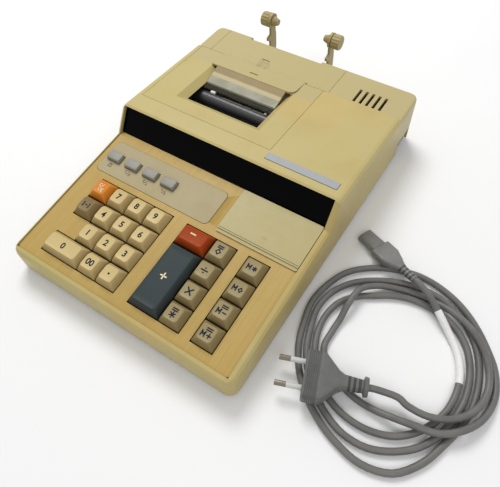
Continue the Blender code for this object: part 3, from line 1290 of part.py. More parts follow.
# Paper arms
def arm_outline():
    """Side view of an arm: foot eye, leg, strap, shoulder, neck and round head."""
    foot_y = ARM_PIVOT_Y
    foot_z = ARM_PIVOT_HEIGHT
    head_y = ARM_HEAD_Y
    head_z = ARM_HEAD_HEIGHT
    foot = ARM_FOOT_RADIUS
    strap_front = head_y - ARM_STRAP_WIDTH / 2
    strap_rear = head_y + ARM_STRAP_WIDTH / 2
    shoulder_front = head_y - ARM_SHOULDER_WIDTH + ARM_STRAP_WIDTH / 2
    shoulder_top = head_z - ARM_SHOULDER_DROP
    neck = ARM_NECK_WIDTH / 2
    neck_angle = math.asin(neck / ARM_HEAD_RADIUS)
    points = []
    for step in range(CORNER_STEPS * 2 + 1):
        angle = math.pi / 2 + math.pi * step / (CORNER_STEPS * 2)
        points.append((foot_y + foot * math.cos(angle), foot_z + foot * math.sin(angle)))
    for step in range(CORNER_STEPS + 1):
        angle = -math.pi / 2 * (1 - step / CORNER_STEPS)
        middle_z = foot_z - foot + ARM_STRAP_WIDTH
        middle_y = strap_rear - ARM_STRAP_WIDTH
        points.append((middle_y + ARM_STRAP_WIDTH * math.cos(angle),
                       middle_z + ARM_STRAP_WIDTH * math.sin(angle)))
    points.append((strap_rear, shoulder_top - ARM_SHOULDER_DEPTH / 2))
    points.append((head_y + neck, shoulder_top))
    for step in range(CORNER_STEPS * 3 + 1):
        start = neck_angle - math.pi / 2
        angle = start + (2 * math.pi - 2 * neck_angle) * step / (CORNER_STEPS * 3)
        points.append((head_y + ARM_HEAD_RADIUS * math.cos(angle),
                       head_z + ARM_HEAD_RADIUS * math.sin(angle)))
    points.append((head_y - neck, shoulder_top))
    points.append((shoulder_front, shoulder_top - ARM_SHOULDER_DEPTH / 3))
    points.append((shoulder_front, shoulder_top - ARM_SHOULDER_DEPTH))
    points.append((strap_front, shoulder_top - ARM_SHOULDER_DEPTH * 1.5))
    points.append((strap_front, foot_z + foot * 2))
    points.append((strap_front - foot, foot_z + foot))
    return points


def build_arms(finish):
    """Both arms on one cross rod, with the origin on the rod's axis."""
    outline = arm_outline()
    half = ARM_THICKNESS / 2
    right = extruded_mesh(outline, ARM_RIGHT_X - half, ARM_RIGHT_X + half)
    arms = add_object("paper_arms", right, finish)
    left = add_object("left_arm", extruded_mesh(outline, ARM_LEFT_X - half, ARM_LEFT_X + half),
                      cutter=True)
    rod = ((ARM_LEFT_X, ARM_PIVOT_Y, ARM_PIVOT_HEIGHT), (ARM_RIGHT_X, ARM_PIVOT_Y, ARM_PIVOT_HEIGHT),
           ARM_ROD_RADIUS)
    boolean(arms, add_object("arm_rod", round_mesh([rod], SHAFT_SIDES), cutter=True), "UNION")
    boolean(arms, left, "UNION")
    bore = ((ARM_LEFT_X - ARM_THICKNESS, ARM_HEAD_Y, ARM_HEAD_HEIGHT),
            (ARM_RIGHT_X + ARM_THICKNESS, ARM_HEAD_Y, ARM_HEAD_HEIGHT),
            SPINDLE_SHAFT_RADIUS + RUN_GAP)
    boolean(arms, add_object("spindle_bore", round_mesh([bore], SHAFT_SIDES), cutter=True))
    cover_origin(arms, (0, ARM_PIVOT_Y, ARM_PIVOT_HEIGHT))
    return arms


def build_spindle(name, arm_x, inward, finish):
    """A ribbed knob, its shaft through the arm and the cone that enters the roll."""
    half = ARM_THICKNESS / 2 + RUN_GAP
    profile = [
        (-half - KNOB_LENGTH, KNOB_RADIUS * KNOB_RIB_SHARE, 1),
        (-half - KNOB_LENGTH + KEY_RIM, KNOB_RADIUS, 0),
        (-half - KEY_RIM, KNOB_RADIUS, 0),
        (-half, KNOB_RADIUS * KNOB_RIB_SHARE, 1),
        (-half, SPINDLE_SHAFT_RADIUS, 1),
        (half, SPINDLE_SHAFT_RADIUS, 1),
        (half, CONE_BASE_RADIUS, 1),
        (half + CONE_LENGTH, CONE_TIP_RADIUS, 1),
    ]
    rings = []
    count = KNOB_RIBS * 2
    for place, radius, plain in profile:
        ring = []
        for index in range(count):
            angle = 2 * math.pi * index / count
            share = 1.0 if plain or index % 2 == 0 else KNOB_RIB_SHARE
            ring.append((inward * place, radius * share * math.cos(angle),
                         radius * share * math.sin(angle)))
        rings.append(ring)
    spindle = add_object(name, loft_mesh(rings), finish)
    spindle.location = (arm_x, ARM_HEAD_Y, ARM_HEAD_HEIGHT)
    smooth(spindle, math.radians(60.0))
    return spindle


# Mains lead
def smooth_values(places, keys, values):
    """Cubic blend through chosen values, with slopes taken from their neighbours."""
    slopes = np.gradient(values, keys)
    index = np.clip(np.searchsorted(keys, places, side="right") - 1, 0, len(keys) - 2)
    span = keys[index + 1] - keys[index]
    share = (places - keys[index]) / span
    start = (1 + 2 * share) * (1 - share) ** 2
    finish = share ** 2 * (3 - 2 * share)
    leave = share * (1 - share) ** 2 * span
    arrive = share ** 2 * (share - 1) * span
    blend = start * values[index] + finish * values[index + 1]
    return blend + leave * slopes[index] + arrive * slopes[index + 1]


def lead_points():
    """Points of the loosely piled lead, from the connector to the plug."""
    swept, radius, height = np.array(CORD_ROUTE, dtype=float).T
    count = round((swept[-1] - swept[0]) / 360.0 * POINTS_PER_LOOP) + 1
    places = np.linspace(swept[0], swept[-1], count)
    reach = smooth_values(places, swept, radius) * CORD_DIAMETER / ROUTE_SHARES
    level = smooth_values(places, swept, height) * CORD_DIAMETER / ROUTE_SHARES
    level = np.maximum(level, CORD_DIAMETER / 2 + SEAT_GAP / 3)
    angle = np.radians(90.0 - places)
    x = COIL_MIDDLE[0] + reach * np.cos(angle)
    y = COIL_MIDDLE[1] + reach * np.sin(angle)
    route = [Vector(point) for point in zip(x, y, level)]
    start = route[0] + lead_direction(CONNECTOR_HEADING, CONNECTOR_PITCH) * SEAT_GAP
    first = start - lead_direction(CONNECTOR_HEADING, CONNECTOR_PITCH) * CORD_DIAMETER
    end = Vector(PLUG_END)
    outward = lead_direction(PLUG_HEADING, 0.0)
    before = end - outward * CORD_DIAMETER
    sweep = Vector((0, -CORD_DIAMETER / 3, -CORD_DIAMETER / 3))
    earlier = end - outward * CORD_DIAMETER * 4 + sweep
    return [route[0], first] + route[1:] + [earlier, before, end]


def lead_direction(heading, pitch):
    level = math.cos(pitch)
    return Vector((math.cos(heading) * level, math.sin(heading) * level, math.sin(pitch)))


def least_gap(points, diameter):
    """Least clear distance between stretches of the lead that aren't neighbours."""
    samples = []
    runs = []
    travelled = 0.0
    for first, second in zip(points[:-1], points[1:]):
        length = (second - first).length
        for share in np.linspace(0, 1, 10, endpoint=False):
            samples.append(first.lerp(second, share))
            runs.append(travelled + length * share)
        travelled += length
    cloud = np.array(samples)
    run = np.array(runs)
    distance = np.linalg.norm(cloud[:, None] - cloud[None], axis=2)
    near = np.abs(run[:, None] - run[None]) < diameter * 10
    distance[near] = np.inf
    return distance.min() - diameter, travelled


def build_lead(finish):
    points = lead_points()
    gap, length = least_gap(points, CORD_DIAMETER)
    print(f"lead: least gap to itself {gap / MM:.2f} mm, length {length:.3f} m")
    curve = bpy.data.curves.new("lead_cord", "CURVE")
    curve.dimensions = "3D"
    curve.bevel_depth = CORD_DIAMETER / 2
    curve.bevel_resolution = 1
    curve.use_fill_caps = True
    spline = curve.splines.new("POLY")
    spline.points.add(len(points) - 1)
    for target, point in zip(spline.points, points):
        target.co = (point.x, point.y, point.z, 1)
    path = bpy.data.objects.new("lead_path", curve)
    tube = bmesh.new()
    tube.from_mesh(bpy.data.meshes.new_from_object(path))
    bpy.data.objects.remove(path)
    bmesh.ops.remove_doubles(tube, verts=tube.verts, dist=SEAT_GAP / 30)
    cord = add_object("lead_cord", tube, finish)
    smooth(cord)
    return cord


def section_solid(name, sections, end, heading, pitch, finish):
    """A moulded end of the lead: round-cornered sections along its own axis."""
    rings = []
    for distance, half_width, half_height, corner in sections:
        outline = round_corners(half_width * MM, half_height * MM, corner * MM, 3)
        rings.append([(distance * MM, across, up) for across, up in outline])
    item = add_object(name, loft_mesh(rings), finish)
    item.location = end
    item.rotation_euler = (0, -pitch, heading)
    smooth(item)
    return item


def build_connector(finish):
    points = lead_points()
    axis = lead_direction(CONNECTOR_HEADING, CONNECTOR_PITCH)
    end = points[0] + axis * SEAT_GAP
    connector = section_solid("lead_connector", CONNECTOR_SECTIONS, end, CONNECTOR_HEADING,
                              CONNECTOR_PITCH, finish)
    return connector


def build_plug(finish):
    """The flat two-pin plug, lying on the strands of its own lead."""
    axis = lead_direction(PLUG_HEADING, 0.0)
    end = Vector(PLUG_END) + axis * SEAT_GAP
    plug = section_solid("lead_plug", PLUG_SECTIONS, end, PLUG_HEADING, 0.0, finish)
    front = PLUG_SECTIONS[-1][0] * MM
    pins = []
    for side in (-1, 1):
        across = side * PIN_SPACING / 2
        pins.append(((front - PIN_RADIUS, across, 0), (front + PIN_LENGTH, across, 0), PIN_RADIUS))
    tool = add_object("plug_pins", round_mesh(pins, SHAFT_SIDES), cutter=True)
    tool.parent = plug
    boolean(plug, tool, "UNION")
    return plug


# Values worked out from the sizes above
TRAY_TOP = FOOT_HEIGHT + SEAT_GAP + TRAY_FLOOR_THICKNESS
COVER_LIP_SHARE = 1.8
REAR_COVER_LIP = REAR_DECK_HEIGHT - DECK_EDGE_FILLET * COVER_LIP_SHARE
SOCKET_WAIST_SHARE = 0.8
STEM_BOTTOM = -BOARD_DROP - BOARD_THICKNESS - KEY_RIM


def plate_reach(y):
    """Distance along the keyboard slope from its front edge."""
    return (y - PLATE_FRONT_Y) / math.cos(PLATE_TILT)


WELLS_FRONT = plate_reach(WELLS_REAR_Y) - KEY_PITCH * KEY_ROWS
BUTTON_ROW = plate_reach(BUTTON_MIDDLE_Y)
LID_REACH = plate_reach(LID_REAR_Y)
MIDDLE_SHIFT = (ARM_HEAD_Y + ARM_HEAD_RADIUS - HALF_DEPTH) / 2
BOARD_POST_COLUMNS = [(PLATE_LEFT_X + NUMBER_WELL_X) / 2,
                      (NUMBER_WELL_RIGHT_X + FUNCTION_WELL_X) / 2,
                      (MEMORY_WELL_RIGHT_X + PLATE_RIGHT_X) / 2]
BOARD_POST_ROWS = [BOARD_POST_FRONT_SIDE - HALF_DEPTH, BOARD_POST_REAR_Y]
BOARD_POSTS = [(x, y) for x in BOARD_POST_COLUMNS for y in BOARD_POST_ROWS]
LUG_PLACES = [ARM_LEFT_X + LUG_THICKNESS, ARM_RIGHT_X - LUG_THICKNESS * 2]

clear_scene()
PARTS = make_collection("desktop_printing_calculator")
CUTTERS = make_collection("cutters")
MACHINE_FRAME = add_frame("machine_frame", (0, -MIDDLE_SHIFT, 0))
KEYBOARD_FRAME = add_frame("keyboard_frame", (0, PLATE_FRONT_Y, PLATE_FRONT_HEIGHT), PLATE_TILT,
                           MACHINE_FRAME)
WINDOW_FRAME = add_frame("window_frame", (0, PLATE_REAR_Y, PLATE_REAR_HEIGHT), WINDOW_TILT,
                         MACHINE_FRAME)
HOOD_FRAME = add_frame("hood_frame", (0, HOOD_REFERENCE_Y, HOOD_HEIGHT), HOOD_TILT, MACHINE_FRAME)

HOUSING_FINISH = material("aged_cream_housing", (0.58, 0.52, 0.30, 1.0), 0.45)
COVER_FINISH = material("aged_cream_covers", (0.56, 0.50, 0.28, 1.0), 0.45)
TRAY_FINISH = material("grey_bottom", (0.30, 0.28, 0.24, 1.0), 0.6)
PLATE_FINISH = material("tan_plate", (0.55, 0.37, 0.14, 1.0), 0.5)
INLAY_FINISH = material("pale_inlay", (0.50, 0.41, 0.25, 1.0), 0.5)
LID_FINISH = material("pale_lid", (0.58, 0.51, 0.30, 1.0), 0.45)
WINDOW_FINISH = material("black_window", (0.006, 0.006, 0.008, 1.0), 0.15)
TUBE_FINISH = material("display_glass", (0.05, 0.07, 0.07, 1.0), 0.1)
BUTTON_FINISH = material("grey_buttons", (0.30, 0.30, 0.26, 1.0), 0.5)
BOARD_FINISH = material("board", (0.10, 0.16, 0.07, 1.0), 0.5)
STEEL_FINISH = material("dark_steel", (0.05, 0.05, 0.05, 1.0), 0.4, 0.8)
RUBBER_FINISH = material("black_rubber", (0.015, 0.015, 0.015, 1.0), 0.8)
CLEAR_FINISH = material("smoky_clear", (0.55, 0.52, 0.40, 1.0), 0.2)
BADGE_FINISH = material("silver_badge", (0.55, 0.55, 0.52, 1.0), 0.35, 0.6)
INLET_FINISH = material("black_inlet", (0.02, 0.02, 0.02, 1.0), 0.5)
ARM_FINISH = material("cream_arms", (0.55, 0.47, 0.27, 1.0), 0.5)
LEAD_FINISH = material("grey_lead", (0.20, 0.19, 0.175, 1.0), 0.55)
KEY_FINISHES = {name: material(f"key_{name}", tone, 0.45) for name, tone in KEY_COLOURS.items()}

fuse_lugs(build_housing(HOUSING_FINISH))
build_tray(TRAY_FINISH)
build_feet(RUBBER_FINISH)
build_plate(PLATE_FINISH)
build_inlay(INLAY_FINISH)
build_key_board(BOARD_FINISH)
build_keys(KEY_FINISHES)
build_buttons(BUTTON_FINISH)
build_selectors(BUTTON_FINISH)
build_lid(LID_FINISH)
build_window(WINDOW_FINISH)
build_tube(TUBE_FINISH)
build_badge(BADGE_FINISH)
build_printer_cover(COVER_FINISH)
build_tear_bar(CLEAR_FINISH)
build_rear_cover(COVER_FINISH)
build_chassis(STEEL_FINISH)
build_roller("platen_roller", PLATEN_Y, PLATEN_HEIGHT, PLATEN_RADIUS, RUBBER_FINISH)
build_roller("print_drum", DRUM_Y, DRUM_HEIGHT, DRUM_RADIUS, STEEL_FINISH)
build_motor(STEEL_FINISH)
build_main_board(BOARD_FINISH)
build_transformer(STEEL_FINISH)
build_inlet(INLET_FINISH)
build_arms(ARM_FINISH)
build_spindle("spindle_right", ARM_RIGHT_X, -1, ARM_FINISH)
build_spindle("spindle_left", ARM_LEFT_X, 1, ARM_FINISH)
build_lead(LEAD_FINISH)
build_connector(LEAD_FINISH)
build_plug(LEAD_FINISH)
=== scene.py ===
"""Looks of a desktop printing calculator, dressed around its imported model."""

import math

import bmesh
import bpy
import numpy as np
from mathutils import Matrix, Vector


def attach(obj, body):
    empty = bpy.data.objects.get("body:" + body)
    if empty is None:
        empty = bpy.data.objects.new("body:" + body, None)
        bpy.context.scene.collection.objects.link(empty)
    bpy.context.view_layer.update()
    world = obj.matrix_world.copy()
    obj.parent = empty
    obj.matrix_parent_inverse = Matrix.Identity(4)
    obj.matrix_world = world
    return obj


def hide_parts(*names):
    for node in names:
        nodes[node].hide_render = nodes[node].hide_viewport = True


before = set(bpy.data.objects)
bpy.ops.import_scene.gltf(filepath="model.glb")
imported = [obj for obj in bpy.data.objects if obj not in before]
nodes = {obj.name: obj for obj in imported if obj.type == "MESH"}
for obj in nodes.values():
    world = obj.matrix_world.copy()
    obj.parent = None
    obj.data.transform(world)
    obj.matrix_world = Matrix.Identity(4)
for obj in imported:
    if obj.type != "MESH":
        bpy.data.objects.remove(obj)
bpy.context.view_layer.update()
MM = 0.001

# Profile of the housing in millimetres, as Y and Z of its creases
PLATE_FRONT = (-143.7, 26.7)
WINDOW_FOOT = (-10.9, 38.9)
HOOD_FRONT = (2.9, 60.9)
HOOD_CREASE = (108.5, 53.3)
MODEL_SHIFT = -19.2

# Frames of the machine: the model stands further forward than its own middle
MACHINE = Matrix.Translation((0, MODEL_SHIFT * MM, 0))


def tilt_of(low, high):
    return math.atan2(high[1] - low[1], high[0] - low[0])


def sloped_frame(start, tilt):
    y, z = start
    return MACHINE @ Matrix.Translation((0, y * MM, z * MM)) @ Matrix.Rotation(tilt, 4, "X")


KEYBOARD_TILT = tilt_of(PLATE_FRONT, WINDOW_FOOT)
HOOD_TILT = tilt_of(HOOD_FRONT, HOOD_CREASE)
KEYBOARD = sloped_frame(PLATE_FRONT, KEYBOARD_TILT)
HOOD = sloped_frame(HOOD_FRONT, HOOD_TILT)


def reach(y):
    """Distance along the keyboard slope, in millimetres, from the plate's front edge."""
    return (y - PLATE_FRONT[0]) / math.cos(KEYBOARD_TILT)


# Camera
CAMERA_TURN = (37.68, -56.48, -5.49)
CAMERA_PLACE = (0.18713, -0.23688, 0.35394)
CAMERA_LENS = 36.39
SENSOR_WIDTH = 36.0


def build_camera():
    yaw, pitch, roll = (math.radians(angle) for angle in CAMERA_TURN)
    level = math.cos(pitch)
    ahead = Vector((-math.sin(yaw) * level, math.cos(yaw) * level, math.sin(pitch)))
    right = ahead.cross(Vector((0, 0, 1))).normalized()
    above = right.cross(ahead)
    across = right * math.cos(roll) + above * math.sin(roll)
    upward = above * math.cos(roll) - right * math.sin(roll)
    turn = Matrix((across, upward, -ahead)).transposed().to_4x4()
    lens = bpy.data.cameras.new("camera")
    lens.lens = CAMERA_LENS
    lens.sensor_width = SENSOR_WIDTH
    lens.clip_start = 0.01
    camera = bpy.data.objects.new("camera", lens)
    camera.matrix_world = Matrix.Translation(CAMERA_PLACE) @ turn
    bpy.context.scene.collection.objects.link(camera)
    bpy.context.scene.camera = camera


build_camera()


# Modelling helpers
def deselect():
    if bpy.context.mode != "OBJECT":
        bpy.ops.object.mode_set(mode="OBJECT")
    bpy.ops.object.select_all(action="DESELECT")


def take(piece):
    """Makes a piece the only one selected, and active."""
    deselect()
    piece.select_set(True)
    bpy.context.view_layer.objects.active = piece


def named(name, finish=None):
    """Names the piece that an operator just added, and gives it its finish."""
    piece = bpy.context.object
    piece.name = name
    piece.data.name = name
    if finish:
        piece.data.materials.clear()
        piece.data.materials.append(finish)
    return piece


def block(name, low, high, finish):
    """A block between two corners in millimetres, as a start for edit mode."""
    deselect()
    middle = [(a + b) / 2 * MM for a, b in zip(low, high)]
    bpy.ops.mesh.primitive_cube_add(size=1, location=middle)
    piece = named(name, finish)
    piece.scale = [(b - a) * MM for a, b in zip(low, high)]
    bpy.ops.object.transform_apply(location=True, rotation=True, scale=True)
    return piece


def edit(piece):
    take(piece)
    bpy.ops.object.mode_set(mode="EDIT")


def leave():
    bpy.ops.object.mode_set(mode="OBJECT")


def stacked(name, levels, finish=None, steps=5):
    """Rounded rectangles stacked along Z: half X, half Y, corner radius, height in millimetres."""
    form = bmesh.new()
    rows = []
    for half_x, half_y, corner, height in levels:
        row = []
        for turn, (side_x, side_y) in enumerate(((1, 1), (-1, 1), (-1, -1), (1, -1))):
            for step in range(steps + 1):
                angle = math.pi / 2 * (turn + step / steps)
                x = side_x * (half_x - corner) + corner * math.cos(angle)
                y = side_y * (half_y - corner) + corner * math.sin(angle)
                row.append(form.verts.new((x * MM, y * MM, height * MM)))
        rows.append(row)
    for low, high in zip(rows[:-1], rows[1:]):
        for index in range(len(low)):
            after = (index + 1) % len(low)
            form.faces.new((low[index], low[after], high[after], high[index]))
    form.faces.new(rows[0][::-1])
    form.faces.new(rows[-1])
    mesh = bpy.data.meshes.new(name)
    form.to_mesh(mesh)
    piece = bpy.data.objects.new(name, mesh)
    bpy.context.scene.collection.objects.link(piece)
    if finish:
        mesh.materials.append(finish)
    return piece


def smoothed(piece, angle=35.0):
    take(piece)
    bpy.ops.object.shade_smooth_by_angle(angle=math.radians(angle))
    return piece


def copy_of(piece, name):
    """A copy with its own mesh."""
    twin = piece.copy()
    twin.data = piece.data.copy()
    twin.name = name
    twin.data.name = name
    bpy.context.scene.collection.objects.link(twin)
    return twin


def merge(piece, distance):
    """Joins a mesh's doubled corners; the distance is in millimetres. Stays in edit mode."""
    edit(piece)
    bpy.ops.mesh.select_all(action="SELECT")
    bpy.ops.mesh.remove_doubles(threshold=distance * MM)


def settle(piece, place):
    """Puts a piece where a frame says, with its place in its mesh."""
    piece.matrix_world = place
    take(piece)
    bpy.ops.object.transform_apply(location=True, rotation=True, scale=True)
    return piece


# Finishes
class Grade:
    """A value that changes over a surface; sums on it add Math nodes."""

    def __init__(self, finish, socket):
        self.finish = finish
        self.socket = socket

    def maths(self, operation, *values):
        return self.finish.node("Math", {"operation": operation}, values)

    def __add__(self, other):
        return self.maths("ADD", self, other)

    __radd__ = __add__

    def __sub__(self, other):
        return self.maths("SUBTRACT", self, other)

    def __rsub__(self, other):
        return self.maths("SUBTRACT", other, self)

    def __mul__(self, other):
        return self.maths("MULTIPLY", self, other)

    __rmul__ = __mul__

    def capped(self):
        return self.maths("MINIMUM", self.maths("MAXIMUM", self, 0.0), 1.0)

    def rise(self, low, high):
        """0 below low, 1 above high, smooth between."""
        return self.finish.node("MapRange", {"interpolation_type": "SMOOTHSTEP"},
                                {"Value": self, "From Min": low, "From Max": high})


class Finish:
    """One procedural material, patterned on Object coordinates."""

    def __init__(self, name):
        self.material = bpy.data.materials.new(name)
        self.material.use_nodes = True
        self.tree = self.material.node_tree
        self.shader = self.tree.nodes["Principled BSDF"]
        self.place = self.node("TexCoord", {}, {}, "Object")
        split = self.node("SeparateXYZ", {}, {0: self.place}, None)
        self.x, self.y, self.z = (Grade(self, split.outputs[index]) for index in range(3))

    def node(self, kind, settings, values, output=0):
        """Adds a node; its settings come first, then the values or links of its sockets."""
        prefix = "ShaderNodeTex" if kind in ("Noise", "Voronoi", "Wave") else "ShaderNode"
        item = self.tree.nodes.new(prefix + kind)
        for key, value in settings.items():
            if key == "stops":
                ramp = item.color_ramp
                while len(ramp.elements) < len(value):
                    ramp.elements.new(0.5)
                for stop, (position, colour) in zip(ramp.elements, value):
                    stop.position = position
                    stop.color = (*colour, 1.0)
            else:
                setattr(item, key, value)
        if not isinstance(values, dict):
            values = dict(enumerate(values))
        for key, value in values.items():
            self.feed(item.inputs[key], value)
        if output is None:
            return item
        return Grade(self, item.outputs[output])

    def feed(self, socket, value):
        if isinstance(value, Grade):
            self.tree.links.new(value.socket, socket)
        elif hasattr(socket.default_value, "__len__") and not hasattr(value, "__len__"):
            socket.default_value = [value] * len(socket.default_value)
        elif hasattr(value, "__len__") and len(socket.default_value) == 4 and len(value) == 3:
            socket.default_value = (*value, 1.0)
        else:
            socket.default_value = value

    def stretched(self, factors, turn=(0, 0, 0)):
        return self.node("Mapping", {}, {"Vector": self.place, "Scale": factors, "Rotation": turn})

    def noise(self, scale, detail=3.0, rough=0.55, place=None, bend=0.0):
        return self.node("Noise", {}, {"Vector": place or self.place, "Scale": scale,
                                       "Detail": detail, "Roughness": rough,
                                       "Distortion": bend})

    def cells(self, scale, feature="F1", place=None):
        return self.node("Voronoi", {"feature": feature},
                         {"Vector": place or self.place, "Scale": scale}, "Distance")

    def mix(self, share, first, second, blend="MIX"):
        return self.node("Mix", {"data_type": "RGBA", "blend_type": blend},
                         {0: share, 6: first, 7: second}, 2)

    def nook(self, depth):
        """1 in the open, less in corners and gaps."""
        return self.node("AmbientOcclusion", {"samples": 8}, {"Distance": depth * MM}, "AO")

    def bump(self, height, distance, under=None, strength=1.0):
        values = {"Height": height, "Distance": distance * MM, "Strength": strength}
        if under:
            values["Normal"] = under
        return self.node("Bump", {}, values)

    def set(self, **values):
        for key, value in values.items():
            self.feed(self.shader.inputs[key.replace("_", " ")], value)
        return self.material


def aged_plastic(name, tone, patch, dirt_and_shade, rough=0.42, grain=0.012, patches=0.5, gloss=0.2,
                 nook_depth=4.0, rear=None):
    """Moulded plastic that has yellowed in soft patches, with a fine grain, dirt specks, and
    painted shade in its gaps and corners.
    """
    finish = Finish(name)
    broad = finish.noise(13.0, 4.0, 0.6, bend=0.4).rise(0.42, 0.66)
    fine = finish.noise(90.0, 5.0, 0.6)
    colour = finish.mix(broad * patches, tone, patch)
    if rear:
        peach = tuple(channel * share for channel, share in zip(tone, (1.08, 0.98, 0.88)))
        green = tuple(channel * share for channel, share in zip(tone, (0.96, 0.99, 0.86)))
        grey = tuple(channel * share for channel, share in zip(tone, (0.93, 0.95, 1.12)))
        warm = finish.noise(9.0, 3.0, 0.5, finish.stretched((1.0, 1.3, 1.0)))
        colour = finish.mix(warm.rise(0.5, 0.68) * 0.7, colour, peach)
        colour = finish.mix(warm.rise(0.46, 0.34) * 0.7, colour, green)
        colour = finish.mix(finish.y.rise((rear - 1.5) * MM, (rear + 1.5) * MM) * 0.8, colour, grey)
    colour = finish.mix((fine - 0.35).capped() * 0.35, colour, patch)
    specks = finish.cells(620.0).rise(0.16, 0.02) * finish.noise(240.0, 2.0).rise(0.55, 0.7)
    colour = finish.mix(specks * 0.35, colour, dirt_and_shade)
    # Painted shade: ambient occlusion darkens gaps and corners towards the dirt-and-shade tone.
    painted_shade = (1.0 - finish.nook(nook_depth)).rise(0.35, 1.0)
    colour = finish.mix(painted_shade * 0.85, colour, dirt_and_shade)
    surface = finish.noise(2600.0, 2.0, 0.6)
    wear = finish.noise(160.0, 4.0, 0.65)
    finish.set(Base_Color=colour, Roughness=(wear - 0.5) * 0.22 + rough,
               Normal=finish.bump(surface, grain), Specular_IOR_Level=gloss)
    return finish.material


# The fourth colour of each is the tone of the dirt specks and of the painted shade in gaps.
HOUSING = aged_plastic("aged_cream_housing", (0.475, 0.395, 0.170), (0.42, 0.315, 0.105),
                       (0.12, 0.075, 0.022), rough=0.38, rear=89.3)
COVERS = aged_plastic("aged_cream_covers", (0.465, 0.385, 0.162), (0.42, 0.315, 0.108),
                      (0.12, 0.075, 0.022), rough=0.42, rear=69.5)
INLAY = aged_plastic("inlay_beige", (0.385, 0.325, 0.188), (0.335, 0.27, 0.13),
                     (0.16, 0.10, 0.04), rough=0.5)
LID = aged_plastic("lid_cream", (0.425, 0.365, 0.180), (0.39, 0.32, 0.135), (0.16, 0.10, 0.04))
TRAY = aged_plastic("tray_grey", (0.17, 0.155, 0.12), (0.13, 0.115, 0.08), (0.05, 0.04, 0.03),
                    rough=0.6, grain=0.03)
ARMS = aged_plastic("arm_cream", (0.36, 0.29, 0.135), (0.30, 0.23, 0.085), (0.11, 0.07, 0.025))
BUTTONS = aged_plastic("button_grey", (0.275, 0.268, 0.225), (0.24, 0.228, 0.175),
                       (0.09, 0.07, 0.04), grain=0.02)
# Cream and olive keys: crown and skirt are lit and shaded copies of one plastic, painted light on
# the crown and painted shade on the skirt.
CROWN_LIT_CREAM = aged_plastic("crown_lit_cream", (0.56, 0.435, 0.20), (0.51, 0.37, 0.15),
                           (0.3, 0.2, 0.09), rough=0.38, nook_depth=1.5)
SKIRT_SHADED_CREAM = aged_plastic("skirt_shaded_cream", (0.44, 0.335, 0.15), (0.37, 0.265, 0.10),
                           (0.10, 0.065, 0.025))
CROWN_LIT_OLIVE = aged_plastic("crown_lit_olive", (0.31, 0.25, 0.12), (0.265, 0.205, 0.09),
                           (0.12, 0.085, 0.04))
SKIRT_SHADED_OLIVE = aged_plastic("skirt_shaded_olive", (0.25, 0.195, 0.088), (0.205, 0.15, 0.06),
                           (0.06, 0.04, 0.02))
ORANGE = aged_plastic("key_orange", (0.62, 0.215, 0.02), (0.52, 0.16, 0.015),
                      (0.2, 0.05, 0.01), patches=0.3)
RED = aged_plastic("key_red", (0.33, 0.052, 0.008), (0.24, 0.034, 0.006), (0.06, 0.01, 0.004),
                   patches=0.3, gloss=0.08)
SLATE = aged_plastic("key_slate", (0.034, 0.047, 0.050), (0.040, 0.048, 0.045),
                     (0.012, 0.012, 0.012), patches=0.4, gloss=0.12)
UMBER = aged_plastic("key_umber", (0.225, 0.158, 0.066), (0.185, 0.122, 0.046),
                     (0.05, 0.03, 0.015))


def streaked_plate():
    """Tan printed plate with fine streaks that run from the front to the window, and painted shade
    in its gaps.
    """
    finish = Finish("tan_plate")
    streaks = finish.noise(900.0, 4.0, 0.7, finish.stretched((1.0, 0.02, 0.02)))
    broad = finish.noise(20.0, 4.0, 0.6)
    colour = finish.mix(streaks.rise(0.3, 0.7) * 0.6, (0.42, 0.285, 0.082), (0.50, 0.355, 0.122))
    colour = finish.mix(broad.rise(0.45, 0.7) * 0.5, colour, (0.385, 0.262, 0.070))
    # Painted shade: ambient occlusion darkens gaps and corners towards dark brown.
    painted_shade = (1.0 - finish.nook(3.0)).rise(0.3, 0.95)
    colour = finish.mix(painted_shade * 0.8, colour, (0.16, 0.085, 0.025))
    grooves = finish.bump(streaks, 0.01)
    return finish.set(Base_Color=colour, Roughness=finish.noise(200.0) * 0.2 + 0.34,
                      Normal=finish.bump(finish.noise(2400.0), 0.008, grooves),
                      Specular_IOR_Level=0.2)


def dark_window():
    finish = Finish("smoked_window")
    dust = finish.noise(700.0, 6.0, 0.7).rise(0.58, 0.8)
    smear = finish.noise(30.0, 4.0, 0.6, finish.stretched((1.0, 2.5, 2.5)))
    colour = finish.mix(dust * 0.25, (0.0012, 0.0013, 0.0016), (0.02, 0.018, 0.016))
    return finish.set(Base_Color=colour, Roughness=smear * 0.12 + dust * 0.15 + 0.08,
                      Specular_IOR_Level=0.03)


def metal(name, tone, second, rough, metallic=1.0, stretch=(0.05, 1.0, 1.0)):
    """Brushed or drawn metal with fine lines across its stretch."""
    finish = Finish(name)
    lines = finish.noise(1800.0, 4.0, 0.7, finish.stretched(stretch))
    stain = finish.noise(60.0, 4.0, 0.6)
    colour = finish.mix(stain.rise(0.4, 0.7) * 0.6, tone, second)
    return finish.set(Base_Color=colour, Metallic=1.0 - stain.rise(0.55, 0.8) * (1.0 - metallic),
                      Roughness=lines * 0.2 + rough, Normal=finish.bump(lines, 0.004))


def rubber(name, tone, dust, rough=0.7, grain=0.03):
    finish = Finish(name)
    powder = finish.noise(300.0, 5.0, 0.7).rise(0.45, 0.8)
    colour = finish.mix(powder * 0.4, tone, dust)
    return finish.set(Base_Color=colour, Roughness=rough - powder * 0.1,
                      Normal=finish.bump(finish.noise(1500.0, 3.0), grain))


